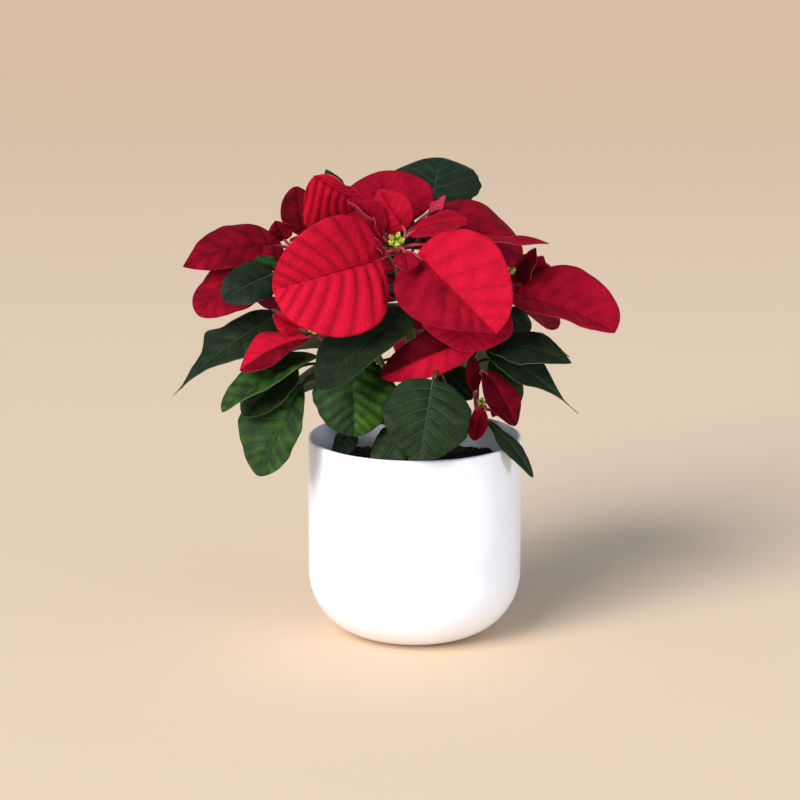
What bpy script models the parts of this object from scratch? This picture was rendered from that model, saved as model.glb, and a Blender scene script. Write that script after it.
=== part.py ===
"""Poinsettia in a white pot: pot, soil, woody trunk, leafy shoots, red blooms and their small flowers.

Units are metres with +Z up. The origin is the middle of the pot's flat base, the photographed
side looks towards -Y, and every blade's own points are given in millimetres.
"""

import math
import random
from dataclasses import dataclass, replace

import bmesh
import bpy
import numpy as np
from mathutils import Matrix, Vector
from mathutils.bvhtree import BVHTree

MM = 0.001
GAP = 0.0003
MERGE = 0.00001
SHARP_ANGLE = math.radians(50)

# Pot
POT_RADIUS = 0.075
POT_HEIGHT = 0.1425
POT_WALL = 0.0035
POT_CORNER = 0.045
POT_STEPS = 32

# Soil
SOIL_TOP = 0.119
SOIL_RELIEF = 0.0025
SOIL_BROAD = 140
SOIL_FINE = 275
SOIL_RINGS = 6
SOIL_STEPS = 16
HOLE_RISE = 0.02

# Stems
TRUNK_BASE_Z = 0.095
TRUNK_TOP_Z = 0.158
TRUNK_RADIUS = 0.0050
TRUNK_TAPER = (1.0, 0.94, 0.8)
STUB_LENGTH = 0.014
STUB_RADIUS = 0.0032
STEM_RADIUS = 0.0026
HUB_LENGTH = 0.013
HUB_RADIUS = 0.0028
FLOWER_ROOM = 0.0130
FLOWER_HEIGHT = 0.008
STALK_RADIUS = 0.0011
STALK_SINK = 0.0022
STEM_END = 0.003
STEM_PULL = 0.36
STEM_STEPS = 32

# Blades
BLADE_THICKNESS = 0.0008
LOBE_SPREAD = 0.09
WAVE_DRIFT = 0.021
WAVE_OFFSET = 0.35
RIB_STEPS = 120
BROAD = (6, 4)
LONG = (8, 4)
LARGE = (5, 4)
SMALL = (4, 2)
CLEARANCE = 3.0

# Blades placed by rule
GOLDEN_ANGLE = 137.5
INNERMOST = 9
DROOP = 0.25
SKYWARD = 0.4
LOWEST_ROOT = 0.15
ROOT_SPREAD = 0.50
HIGHEST_LEAF = 0.85
LEAF_STEP = 0.1
TRY_SIZES = (1.0, 0.85, 0.7)
TRY_RISES = (0, 10, -10, 20, -20, 32, -32)
TRY_TURNS = (0, 14, -14, 28, -28)
UP = Vector((0, 0, 1))

# Stalks
STALK_RISE = 0.35
STALK_START_PULL = 0.40
STALK_END_PULL = 0.35
ENTRY_STEP = 5 / RIB_STEPS

# True flowers
FLOWER_COUNT = 5
FLOWER_BASE_RADIUS = 0.0024
FLOWER_CUP_RADIUS = 0.0042
FLOWER_CUP_HEIGHT = 0.0026
FLOWER_BEAD_RADIUS = 0.0020
FLOWER_BEAD_STRETCH = 1.35
FLOWER_SPREAD = 0.0038
FLOWER_BEAD_HEIGHT = 0.0036
FLOWER_BEAD_STEP = 0.0008

RED = (0.52, 0.006, 0.022, 1.0)
GREEN = (0.022, 0.055, 0.024, 1.0)
BARK = (0.13, 0.085, 0.045, 1.0)
FLOWER = (0.42, 0.48, 0.06, 1.0)
SOIL = (0.016, 0.011, 0.008, 1.0)
WHITE = (0.86, 0.86, 0.85, 1.0)


@dataclass(frozen=True)
class Outline:
    """How a blade's half width runs from base (0) to tip (1)."""

    widest: float
    base_power: float
    tip_power: float
    lobe_depth: float = 0.0
    lobe_place: float = 0.6

    def half_width(self, along):
        """Share of the largest half width at each place along the midrib."""
        bend = math.log(0.5) / math.log(self.widest)
        arch = np.clip(np.sin(math.pi * along**bend), 0.0, 1.0)
        share = arch ** (self.base_power + (self.tip_power - self.base_power) * along)
        lobe = np.exp(-(((along - self.lobe_place) / LOBE_SPREAD) ** 2))
        return share * (1 + self.lobe_depth * lobe)


ROUND = Outline(widest=0.46, base_power=0.42, tip_power=0.50)
FULL = Outline(widest=0.48, base_power=0.46, tip_power=0.36)
EGG = Outline(widest=0.44, base_power=0.55, tip_power=0.62)
LATE = Outline(widest=0.63, base_power=0.42, tip_power=0.54)
EARLY = Outline(widest=0.31, base_power=0.79, tip_power=0.40)
OVATE = Outline(widest=0.42, base_power=0.50, tip_power=0.85)
OVAL = Outline(widest=0.50, base_power=0.60, tip_power=0.60)
LOBED = Outline(widest=0.36, base_power=0.60, tip_power=1.30, lobe_depth=0.45, lobe_place=0.6)
LANCE = Outline(widest=0.40, base_power=0.75, tip_power=1.20)
WAVY = Outline(widest=0.56, base_power=0.80, tip_power=0.62, lobe_depth=0.10, lobe_place=0.45)
EARED = Outline(widest=0.34, base_power=0.60, tip_power=2.00, lobe_depth=0.80, lobe_place=0.49)
BELLIED = Outline(widest=0.22, base_power=0.60, tip_power=2.60)
TAILED = Outline(widest=0.30, base_power=0.60, tip_power=3.20)


@dataclass(frozen=True)
class Blade:
    """One bract or leaf. Points are in millimetres, turns in degrees.

    The mate is the outline of the far side, where it isn't like the other. The joint is a leaf's
    share of the way up its stem.
    """

    base: tuple
    tip: tuple
    face: tuple
    width: float
    outline: Outline = ROUND
    mate: Outline | None = None
    arch: float = 30.0
    fold: float = 12.0
    cup: float = -25.0
    wave: float = 1.5
    waves: float = 1.5
    sweep: float = 0.0
    skew: float = 0.0
    joint: float = 0.0
    cells: tuple = LARGE

    def axes(self):
        """Unit directions along the chord, across the blade and out of its face."""
        along = np.subtract(self.tip, self.base)
        along = along / np.linalg.norm(along)
        face = np.array(self.face) - along * np.dot(self.face, along)
        face = face / np.linalg.norm(face)
        return along, np.cross(face, along), face

    def midrib(self):
        """Points and directions of the bent midrib, on a chord one unit long."""
        part = np.linspace(0.0, 1.0, RIB_STEPS + 1)
        pitch = -math.radians(self.arch) * part
        yaw = math.radians(self.sweep) * part
        heading = np.stack([np.cos(pitch) * np.cos(yaw), np.cos(pitch) * np.sin(yaw), np.sin(pitch)], 1)
        side = np.stack([-np.sin(yaw), np.cos(yaw), np.zeros_like(yaw)], 1)
        steps = (heading[1:] + heading[:-1]) / 2
        points = np.vstack([np.zeros(3), np.cumsum(steps, axis=0)])
        length = np.linalg.norm(points[-1])
        turn = np.array(Vector(points[-1]).rotation_difference(Vector((1, 0, 0))).to_matrix())
        return points @ turn.T / length, heading @ turn.T, side @ turn.T

    def surface(self, along, across):
        """Points in millimetres at shares along the midrib (0 to 1) and across the blade (-1 to 1)."""
        axis, width_axis, face_axis = self.axes()
        ribs, headings, sides = self.midrib()
        step = np.rint(np.asarray(along) * RIB_STEPS).astype(int)
        chord = np.linalg.norm(np.subtract(self.tip, self.base))
        rise = np.cross(headings[step], sides[step])
        share = self.outline.half_width(along)
        if self.mate:
            share = np.where(across > 0, self.mate.half_width(along), share)
        half = self.width / 2 * share * (1 + self.skew * np.sign(across) * np.sin(math.pi * along))
        reach = np.abs(across)
        fold = math.radians(self.fold)
        cup = math.radians(self.cup)
        out = half * (np.sin(fold + cup * reach) - math.sin(fold)) / cup
        lift = half * (math.cos(fold) - np.cos(fold + cup * reach)) / cup
        shift = self.base[0] * WAVE_DRIFT + WAVE_OFFSET * (across > 0)
        lift = lift + self.wave * share * reach**2 * np.sin(2 * math.pi * (self.waves * along + shift))
        sideways = (out * np.sign(across))[:, None]
        local = ribs[step] * chord + sides[step] * sideways + rise * lift[:, None]
        frame = np.array([axis, width_axis, face_axis])
        return np.array(self.base) + local @ frame


def clear_scene():
    for old in list(bpy.data.objects):
        bpy.data.objects.remove(old)


def new_collection(name):
    collection = bpy.data.collections.new(name)
    bpy.context.scene.collection.children.link(collection)
    return collection


def material(name, colour, roughness):
    made = bpy.data.materials.new(name)
    made.use_nodes = True
    shader = made.node_tree.nodes["Principled BSDF"]
    shader.inputs["Base Color"].default_value = colour
    shader.inputs["Roughness"].default_value = roughness
    return made


def object_from_bmesh(bm, name, collection):
    mesh = bpy.data.meshes.new(name)
    bm.to_mesh(mesh)
    bm.free()
    made = bpy.data.objects.new(name, mesh)
    collection.objects.link(made)
    return made


def applied(obj):
    """Replace the object's data by its evaluated mesh and drop its modifiers."""
    graph = bpy.context.evaluated_depsgraph_get()
    mesh = bpy.data.meshes.new_from_object(obj.evaluated_get(graph))
    if obj.type == "MESH":
        obj.modifiers.clear()
        obj.data = mesh
        return obj
    made = bpy.data.objects.new(obj.name + "_mesh", mesh)
    made.matrix_world = obj.matrix_world
    obj.users_collection[0].objects.link(made)
    bpy.data.objects.remove(obj)
    bm = bmesh.new()
    bm.from_mesh(mesh)
    bmesh.ops.remove_doubles(bm, verts=bm.verts, dist=MERGE)
    bm.to_mesh(mesh)
    bm.free()
    return made


def tube(name, points, radii, sides, collection):
    """A capped tube through the points, as a mesh. The number of sides is 4, 6 or 8."""
    curve = bpy.data.curves.new(name, "CURVE")
    curve.dimensions = "3D"
    curve.bevel_depth = 1.0
    curve.bevel_resolution = sides // 2 - 2
    curve.use_fill_caps = True
    spline = curve.splines.new("POLY")
    spline.points.add(len(points) - 1)
    for spot, place, radius in zip(spline.points, points, radii):
        spot.co = (*place, 1.0)
        spot.radius = radius
    made = bpy.data.objects.new(name, curve)
    collection.objects.link(made)
    return applied(made)


def bezier(start, start_pull, end_pull, end, count):
    """Points of a cubic curve with the two middle control points given."""
    places = []
    for step in range(count):
        t = step / (count - 1)
        places.append(
            start * (1 - t) ** 3
            + start_pull * 3 * t * (1 - t) ** 2
            + end_pull * 3 * t**2 * (1 - t)
            + end * t**3
        )
    return places


@dataclass(frozen=True)
class Shoot:
    """A stem from the trunk to its bloom, with hand-placed blades and counts of those placed by rule.

    The hub is where the stem ends and the bloom starts. Hub, lengths, floor and ceiling are in
    millimetres. Away is the least share of +Y that a ruled blade's direction may have.
    """

    name: str
    hub: tuple
    axis: tuple
    stub_height: float
    stub_heading: tuple
    bracts: tuple = ()
    leaves: tuple = ()
    more_bracts: int = 0
    more_leaves: int = 0
    bract_length: float = 62.0
    leaf_length: float = 74.0
    away: float = -1.0
    floor: float = 150.0
    ceiling: float = 300.0
    flower_size: float = 1.0
    seed: int = 1


CENTRE = Shoot(
    name="centre",
    hub=(-12, -16, 272),
    axis=(-0.05, -0.62, 0.78),
    stub_height=TRUNK_TOP_Z,
    stub_heading=(-0.05, -0.05, 1.0),
    bracts=(
        Blade(
            (-24, -34, 274), (-95, -72, 260), (0.26, -0.81, 0.21), 84, EGG, FULL,
            arch=45, fold=23, cup=-14, skew=0.10, cells=BROAD,
        ),
        Blade(
            (1, -36, 277), (54, -77, 231), (0.01, -0.98, 0.23), 77, LANCE, FULL,
            arch=45, fold=21, cup=-10, skew=0.12, cells=BROAD,
        ),
        Blade((-7, -47, 281), (-5, -62, 271), (0.10, -0.60, 0.70), 18, OVAL, arch=20, cells=SMALL),
        Blade(
            (37, -17, 249), (33, -54, 214), (0.15, -0.84, 0.50), 66, OVAL,
            arch=18, fold=6, cup=-14,
        ),
        Blade(
            (-38, 8, 307), (-69, -6, 327), (-0.95, -0.69, 0.28), 58, LATE, EARLY,
            arch=12, fold=24, cup=-12, skew=0.38,
        ),
        Blade((-7, -12, 291), (-25, -6, 318), (-0.45, -0.80, 0.20), 30, OVATE, arch=20, fold=16),
        Blade(
            (-22, -14, 290), (-47, -12, 311), (0.30, -0.60, 0.70), 24, OVATE,
            arch=14, fold=48, cup=10, cells=SMALL,
        ),
        Blade(
            (-23, -26, 281), (-47, -31, 301), (0.30, -0.60, 0.70), 20, OVATE,
            arch=14, fold=48, cup=10, cells=SMALL,
        ),
        Blade((-3, -16, 289), (36, -22, 298), (0.10, -0.35, 0.93), 32, arch=40, fold=14, cup=-30),
        Blade(
            (-20, -34, 279), (-26, -42, 283), (-0.30, -0.70, 0.60), 9, OVATE,
            arch=20, cells=SMALL,
        ),
        Blade(
            (-22, -30, 289), (-28, -36, 304), (0.75, -0.60, 0.20), 9, LANCE,
            arch=20, cells=SMALL,
        ),
        Blade((-16, 12, 288), (-25, 26, 325), (0.0, -0.85, 0.50), 68, arch=34, fold=8, cup=-26),
        Blade((9, 2, 293), (75, 12, 271), (0.20, -0.50, 0.85), 70, arch=36, fold=8, cup=-26),
        Blade((10, 6, 300), (21, 10, 311), (0.60, 0.50, -0.50), 11, OVATE, arch=16, cells=SMALL),
        Blade(
            (30, -16, 281), (92, -12, 281), (0.05, -0.16, 0.98), 20, OVATE,
            arch=22, fold=8, cup=-10,
        ),
    ),
    leaves=(
        Blade(
            (11, 44, 297), (19, 86, 326), (-0.02, -0.62, 0.78), 64,
            arch=34, fold=8, cup=-24, joint=0.80,
        ),
        Blade(
            (-1, -23, 238), (-64, -92, 196), (-0.10, -0.55, 0.83), 45, OVAL,
            arch=24, fold=10, cup=-22, skew=-0.26, joint=0.62,
        ),
        Blade(
            (-52, 26, 302), (-62, 24, 327), (-0.2, -0.7, 0.7), 16, OVATE,
            arch=20, cells=SMALL, joint=0.90,
        ),
    ),
    more_leaves=2,
    away=0.3,
    seed=11,
)

LEFT = Shoot(
    name="left",
    hub=(-74, 12, 262),
    axis=(-0.35, -0.30, 0.88),
    stub_height=0.148,
    stub_heading=(-0.75, 0.05, 0.66),
    bracts=(
        Blade(
            (-92, 0, 277), (-159, -20, 266), (-0.15, -0.65, 0.75), 43, OVATE,
            arch=54, fold=10, cup=-28, skew=-0.12,
        ),
        Blade(
            (-108, -7, 272), (-149, -23, 233), (-0.50, -0.80, 0.45), 46, ROUND,
            arch=34, fold=14, cup=-20, skew=0.32,
        ),
        Blade(
            (-78, 34, 278), (-84, 36, 313), (-0.35, -0.80, 0.30), 28, OVAL,
            arch=20, fold=14, cup=-26,
        ),
        Blade(
            (-91, 14, 279), (-97, 10, 293), (-0.20, -0.80, 0.40), 18, OVATE,
            arch=14, fold=14, cells=SMALL,
        ),
    ),
    leaves=(
        Blade(
            (-96, -40, 265), (-129, -60, 251), (-0.25, -0.85, 0.45), 32, ROUND,
            arch=34, fold=14, cup=-24, joint=0.85,
        ),
        Blade(
            (-95, -18, 232), (-165, -50, 182), (-0.35, -0.65, 0.68), 38, EARED, BELLIED,
            arch=30, fold=10, cup=-20, skew=0.20, cells=LONG, joint=0.60,
        ),
        Blade(
            (-94, -33, 271), (-110, -36, 274), (-0.20, -0.80, 0.50), 9, OVATE,
            arch=10, cells=SMALL, joint=0.85,
        ),
    ),
    more_bracts=3,
    more_leaves=2,
    away=-0.05,
    floor=200,
    seed=4,
)

RIGHT = Shoot(
    name="right",
    hub=(58, 26, 240),
    axis=(0.42, 0.05, 0.90),
    stub_height=0.143,
    stub_heading=(0.75, 0.15, 0.62),
    bracts=(
        Blade(
            (68, 7, 241), (138, -15, 219), (0.02, -0.48, 1.0), 60, OVATE, FULL,
            arch=26, fold=26, cup=-12, skew=0.18,
        ),
        Blade((74, 10, 249), (84, 6, 275), (-0.70, -0.60, 0.30), 16, OVATE, arch=14, cells=SMALL),
        Blade((80, 24, 248), (90, 24, 266), (-0.30, -0.90, 0.30), 18, OVATE, arch=14, cells=SMALL),
    ),
    leaves=(
        Blade(
            (52, -6, 207), (113, -30, 165), (0.20, -0.60, 0.76), 30, TAILED,
            arch=26, fold=14, cup=-14, cells=LONG, joint=0.50,
        ),
        Blade(
            (53, 4, 195), (73, -6, 167), (0.45, -0.85, 0.25), 24, OVAL,
            arch=24, fold=10, cells=SMALL, joint=0.35,
        ),
        Blade(
            (62, 15, 228), (80, 11, 214), (0.20, -0.60, 0.75), 26, ROUND,
            arch=24, fold=10, cells=SMALL, joint=0.80,
        ),
    ),
    more_bracts=4,
    more_leaves=2,
    away=0.55,
    floor=200,
    ceiling=268,
    seed=7,
)

LOW_LEFT = Shoot(
    name="low_left",
    hub=(-62, -30, 218),
    axis=(-0.40, -0.72, 0.56),
    stub_height=0.137,
    stub_heading=(-0.72, -0.40, 0.60),
    bracts=(
        Blade(
            (-73, -46, 222), (-118, -68, 204), (-0.50, -0.62, 0.72), 32, OVATE, LATE,
            arch=36, fold=14, cup=-28, skew=-0.20,
        ),
        Blade(
            (-79, -45, 228), (-96, -58, 241), (-0.50, -0.70, 0.40), 16, OVATE,
            arch=20, fold=20, cells=SMALL,
        ),
        Blade(
            (-84, -36, 242), (-110, -42, 249), (0.30, 0.60, -0.60), 12, OVATE,
            arch=20, fold=10, cells=SMALL,
        ),
        Blade(
            (-58, -31, 234), (-46, -28, 247), (0.10, -0.80, 0.56), 15, OVATE,
            arch=20, fold=16, cells=SMALL,
        ),
    ),
    leaves=(
        Blade(
            (-67, -42, 208), (-130, -72, 176), (-0.40, -0.50, 0.76), 34, OVAL,
            arch=30, fold=30, cup=-16, joint=0.80,
        ),
        Blade(
            (-81, -34, 198), (-117, -54, 169), (-0.30, -0.80, 0.50), 32, OVAL,
            arch=30, fold=16, cup=-10, joint=0.55,
        ),
        Blade(
            (-77, -40, 189), (-107, -62, 129), (-0.30, -0.90, 0.25), 43, WAVY, skew=-0.30,
            arch=22, fold=8, cup=-16, cells=LONG, joint=0.35,
        ),
        Blade(
            (-42, -42, 206), (-41, -62, 157), (0.0, -0.90, 0.35), 56, ROUND,
            arch=30, fold=10, cup=-26, joint=0.50,
        ),
        Blade(
            (-45, -16, 150), (-53, -28, 130), (-0.30, -0.80, 0.50), 18, OVATE,
            arch=20, fold=10, cells=SMALL, joint=0.10,
        ),
    ),
    flower_size=0.7,
    seed=5,
)

LOW_RIGHT = Shoot(
    name="low_right",
    hub=(42, -22, 162),
    axis=(0.25, -0.60, 0.70),
    stub_height=0.130,
    stub_heading=(0.72, -0.40, 0.55),
    bracts=(
        Blade((41, -30, 181), (39, -28, 205), (0.45, -0.88, 0.10), 12, OVAL, arch=10, cells=SMALL),
        Blade(
            (48, -30, 195), (69, -44, 160), (0.50, -0.76, 0.40), 26, OVAL,
            arch=34, fold=10, cup=-24, cells=SMALL,
        ),
        Blade(
            (48, -45, 171), (41, -50, 151), (-0.20, -0.95, 0.10), 14, OVAL,
            arch=20, sweep=30, cells=SMALL,
        ),
        Blade((53, -37, 169), (60, -43, 166), (0.30, -0.60, 0.70), 8, LANCE, arch=20, cells=SMALL),
    ),
    leaves=(
        Blade(
            (12, -66, 197), (3, -88, 147), (0.05, -0.95, 0.30), 60,
            arch=26, fold=8, cup=-20, joint=0.55,
        ),
        Blade(
            (50, -31, 160), (81, -50, 125), (0.50, -0.66, 0.56), 14, OVAL,
            arch=40, fold=12, cup=-20, skew=-0.30, joint=0.45,
        ),
        Blade(
            (-6, -46, 160), (-26, -56, 129), (-0.30, -0.85, 0.40), 28, ROUND,
            arch=24, fold=10, cells=SMALL, joint=0.20,
        ),
    ),
    flower_size=0.6,
    seed=6,
)

FRONT_RIGHT = Shoot(
    name="front_right",
    hub=(40, -2, 212),
    axis=(0.12, -0.60, 0.79),
    stub_height=0.150,
    stub_heading=(0.55, -0.50, 0.67),
    bracts=(
        Blade(
            (47, -31, 221), (-23, -57, 197), (0.05, -0.86, 0.50), 31, OVAL,
            arch=22, fold=14, cup=-26,
        ),
    ),
    leaves=(
        Blade(
            (50, -20, 213), (107, -40, 203), (0.10, -0.45, 0.88), 36, OVATE,
            arch=36, fold=8, cup=-20, joint=0.85,
        ),
        Blade(
            (20, -10, 190), (40, -16, 172), (0.20, -0.85, 0.40), 26, OVATE,
            arch=24, fold=10, cells=SMALL, joint=0.55,
        ),
    ),
    more_bracts=2,
    bract_length=44,
    away=0.2,
    seed=8,
)

BACK_LEFT = Shoot(
    name="back_left",
    hub=(-50, 62, 252),
    axis=(-0.35, 0.55, 0.76),
    stub_height=0.152,
    stub_heading=(-0.50, 0.60, 0.62),
    more_bracts=7,
    more_leaves=4,
    floor=185,
    ceiling=300,
    seed=21,
)

BACK_RIGHT = Shoot(
    name="back_right",
    hub=(42, 62, 248),
    axis=(0.35, 0.55, 0.76),
    stub_height=0.155,
    stub_heading=(0.50, 0.60, 0.62),
    more_bracts=7,
    more_leaves=4,
    floor=185,
    ceiling=276,
    leaf_length=54,
    seed=32,
)

BACK = Shoot(
    name="back",
    hub=(-2, 96, 212),
    axis=(0.0, 0.80, 0.60),
    stub_height=0.146,
    stub_heading=(0.0, 0.82, 0.57),
    more_bracts=6,
    more_leaves=4,
    bract_length=54,
    seed=43,
)

SHOOTS = (CENTRE, LEFT, RIGHT, LOW_LEFT, LOW_RIGHT, FRONT_RIGHT, BACK_LEFT, BACK_RIGHT, BACK)


def unit(values):
    return Vector(values).normalized()


def stub_ends(shoot):
    """Start of the shoot's stub inside the trunk, its far end, and its heading."""
    heading = unit(shoot.stub_heading)
    start = Vector((0, 0, shoot.stub_height))
    return start, start + heading * STUB_LENGTH, heading


def stem_route(shoot, count=7):
    """Points of the shoot's stem, in metres, from stub to hub, with a straight run at both ends."""
    _, stub_end, heading = stub_ends(shoot)
    up = unit(shoot.axis)
    start = stub_end + heading * GAP
    end = Vector(shoot.hub) * MM
    low, high = start + heading * STEM_END, end - up * STEM_END
    pull = (high - low).length * STEM_PULL
    return [start] + bezier(low, low + heading * pull, high - up * pull, high, count) + [end]


def stem_place(shoot, share):
    """Point on the stem at a share of its way up."""
    route = stem_route(shoot, STEM_STEPS + 1)
    return route[1 + round(share * STEM_STEPS)]


def stalk_route(root, blade, count=3):
    """Points of a stalk from its root to just inside its blade, along the midrib."""
    rib = blade.surface(np.array([0.0, ENTRY_STEP]), np.zeros(2)) * MM
    first, second = (Vector(point) for point in rib)
    entry = (second - first).normalized()
    reach = (first - root).length
    leave = ((first - root).normalized() + STALK_RISE * UP).normalized()
    end = first + entry * STALK_SINK
    return bezier(
        root,
        root + leave * reach * STALK_START_PULL,
        first - entry * reach * STALK_END_PULL,
        end,
        count,
    )


def grid_shares(cells):
    """Shares along and across for every corner of a blade's grid."""
    along = np.linspace(0, 1, cells[0] + 1)
    across = np.linspace(-1, 1, cells[1] + 1)
    return np.repeat(along, len(across)), np.tile(across, len(along))


def sheet(blade, lift):
    """Corners and faces of the blade's middle surface, moved out of its face by lift millimetres."""
    rows, columns = blade.cells[0] + 1, blade.cells[1] + 1
    along, across = grid_shares(blade.cells)
    corners = blade.surface(along, across) + blade.axes()[2] * lift
    faces = []
    for row in range(rows - 1):
        for column in range(columns - 1):
            first = row * columns + column
            faces.append((first, first + 1, first + columns + 1))
            faces.append((first, first + columns + 1, first + columns))
    return [Vector(c) for c in corners], faces


def sleeve(points, radius):
    """Corners and faces, in millimetres, of a three-sided sleeve round a stalk or stem."""
    corners, faces = [], []
    for index, point in enumerate(points):
        heading = points[min(index + 1, len(points) - 1)] - points[max(index - 1, 0)]
        side = heading.orthogonal().normalized()
        other = heading.normalized().cross(side)
        for turn in range(3):
            angle = 2 * math.pi * turn / 3
            corners.append((point + (side * math.cos(angle) + other * math.sin(angle)) * radius) / MM)
    for index in range(len(points) - 1):
        for turn in range(3):
            first = index * 3 + turn
            after = index * 3 + (turn + 1) % 3
            faces.append((first, after, after + 3))
            faces.append((first, after + 3, first + 3))
    last = len(corners) - 3
    return corners, faces + [(0, 1, 2), (last, last + 1, last + 2)]


class Room:
    """What is already placed, so that a blade placed by rule is bent clear of it."""

    def __init__(self):
        self.sheets = []
        self.stalks = []

    def add_blade(self, owner, blade, root):
        self.sheets.append((owner, BVHTree.FromPolygons(*sheet(blade, 0.0))))
        route = stalk_route(root, blade)
        self.stalks.append((owner, BVHTree.FromPolygons(*sleeve(route, 2 * STALK_RADIUS))))

    def add_solid(self, owner, obj):
        """Keeps blades off a finished solid, such as the pot."""
        corners = [corner.co / MM for corner in obj.data.vertices]
        faces = [tuple(face.vertices) for face in obj.data.polygons]
        self.sheets.append((owner, BVHTree.FromPolygons(corners, faces)))

    def add_stem(self, owner, points, radius):
        self.stalks.append((owner, BVHTree.FromPolygons(*sleeve(points, radius))))

    def clear(self, owner, blade, root):
        """Whether the blade and its stalk keep off every other piece."""
        lifts = [BVHTree.FromPolygons(*sheet(blade, lift)) for lift in (0.0, -CLEARANCE, CLEARANCE)]
        stalk = BVHTree.FromPolygons(*sleeve(stalk_route(root, blade), 2 * STALK_RADIUS))
        for other, tree in self.sheets:
            tested = lifts[:1] if other == owner else lifts + [stalk]
            if any(tree.overlap(mine) for mine in tested):
                return False
        for other, tree in self.stalks:
            if other != owner and any(tree.overlap(mine) for mine in lifts + [stalk]):
                return False
        return True


def ring_axes(axis):
    """Two directions square to the axis, the first of them level."""
    up = unit(axis)
    level = up.cross(UP).normalized()
    return level, level.cross(up), up


@dataclass(frozen=True)
class Habit:
    """How blades placed by rule look, from the outermost to the innermost.

    Each pair is a lowest and a highest value. Angles are in degrees, lengths in millimetres.
    """

    rise: tuple
    inner_rise: float
    stalk: tuple
    size: tuple
    taper: float
    ratio: tuple
    arch: tuple
    outlines: tuple


BRACT_HABIT = Habit(
    rise=(-23, -13),
    inner_rise=62,
    stalk=(12, 15),
    size=(0.92, 1.08),
    taper=0.5,
    ratio=(0.72, 0.86),
    arch=(28, 46),
    outlines=(ROUND, OVATE, OVAL),
)
LEAF_HABIT = Habit(
    rise=(-20, 4),
    inner_rise=0,
    stalk=(26, 36),
    size=(0.85, 1.05),
    taper=0.0,
    ratio=(0.58, 0.70),
    arch=(26, 44),
    outlines=(OVATE, LOBED, OVATE),
)


@dataclass(frozen=True)
class Pose:
    """One ruled blade before it is set round its axis: degrees and millimetres."""

    azimuth: float
    rise: float
    stalk: float
    length: float
    width: float
    arch: float
    outline: Outline


def tries():
    """Shares of size, rises and turns to try in order until a blade is clear."""
    for size in TRY_SIZES:
        for rise in TRY_RISES:
            for turn in TRY_TURNS:
                yield size, rise, turn


def ruled_blade(root, axis, pose):
    """The blade of a pose set round an axis."""
    level, other, up = ring_axes(axis)
    azimuth, rise = math.radians(pose.azimuth), math.radians(pose.rise)
    around = level * math.cos(azimuth) + other * math.sin(azimuth)
    heading = around * math.cos(rise) + up * math.sin(rise)
    base = root / MM + heading * pose.stalk
    tip = base + (heading - DROOP * UP).normalized() * pose.length
    face = up * math.cos(rise) - around * math.sin(rise) + SKYWARD * UP
    return Blade(
        tuple(base), tuple(tip), tuple(face), pose.width, pose.outline, arch=pose.arch, cells=SMALL
    )


def drawn_pose(draw, habit, order, length, start):
    """The pose at one place in the golden-angle order."""
    inner = min(order, INNERMOST) / INNERMOST
    span = length * (1 - habit.taper * inner) * draw.uniform(*habit.size)
    return Pose(
        azimuth=start + GOLDEN_ANGLE * order,
        rise=habit.inner_rise * inner + draw.uniform(*habit.rise),
        stalk=draw.uniform(*habit.stalk),
        length=span,
        width=span * draw.uniform(*habit.ratio),
        arch=draw.uniform(*habit.arch),
        outline=draw.choice(habit.outlines),
    )


def allowed(room, owner, shoot, blade, root):
    """Whether a blade points the shoot's way, stays within its heights and is clear of the rest."""
    heading = (Vector(blade.tip) - Vector(blade.base)).normalized()
    heights = [corner.z for corner in sheet(blade, 0.0)[0]]
    inside = shoot.floor <= min(heights) and max(heights) <= shoot.ceiling
    return heading.y >= shoot.away and inside and room.clear(owner, blade, root)


def place_by_rule(room, owner, shoot, roots, length, habit):
    """Blades at the golden angle round the shoot, each turned or made smaller until it is clear."""
    draw = random.Random(shoot.seed)
    placed = []
    start = draw.uniform(0, 360)
    for order in range(len(roots) * 3):
        if len(placed) == len(roots):
            break
        pose = drawn_pose(draw, habit, order, length, start)
        root = roots[len(placed)]
        for size, rise, turn in tries():
            tried = replace(
                pose,
                azimuth=pose.azimuth + turn,
                rise=pose.rise + rise,
                length=pose.length * size,
                width=pose.width * size,
            )
            blade = ruled_blade(root, shoot.axis, tried)
            if allowed(room, owner, shoot, blade, root):
                room.add_blade(owner, blade, root)
                placed.append((blade, root))
                break
    return placed


def bloom_root(shoot, order):
    """Where a bract's stalk leaves the hub: the first ones lowest."""
    share = LOWEST_ROOT + ROOT_SPREAD * min(order, INNERMOST) / INNERMOST
    return Vector(shoot.hub) * MM + unit(shoot.axis) * (GAP + HUB_LENGTH * share)


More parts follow.
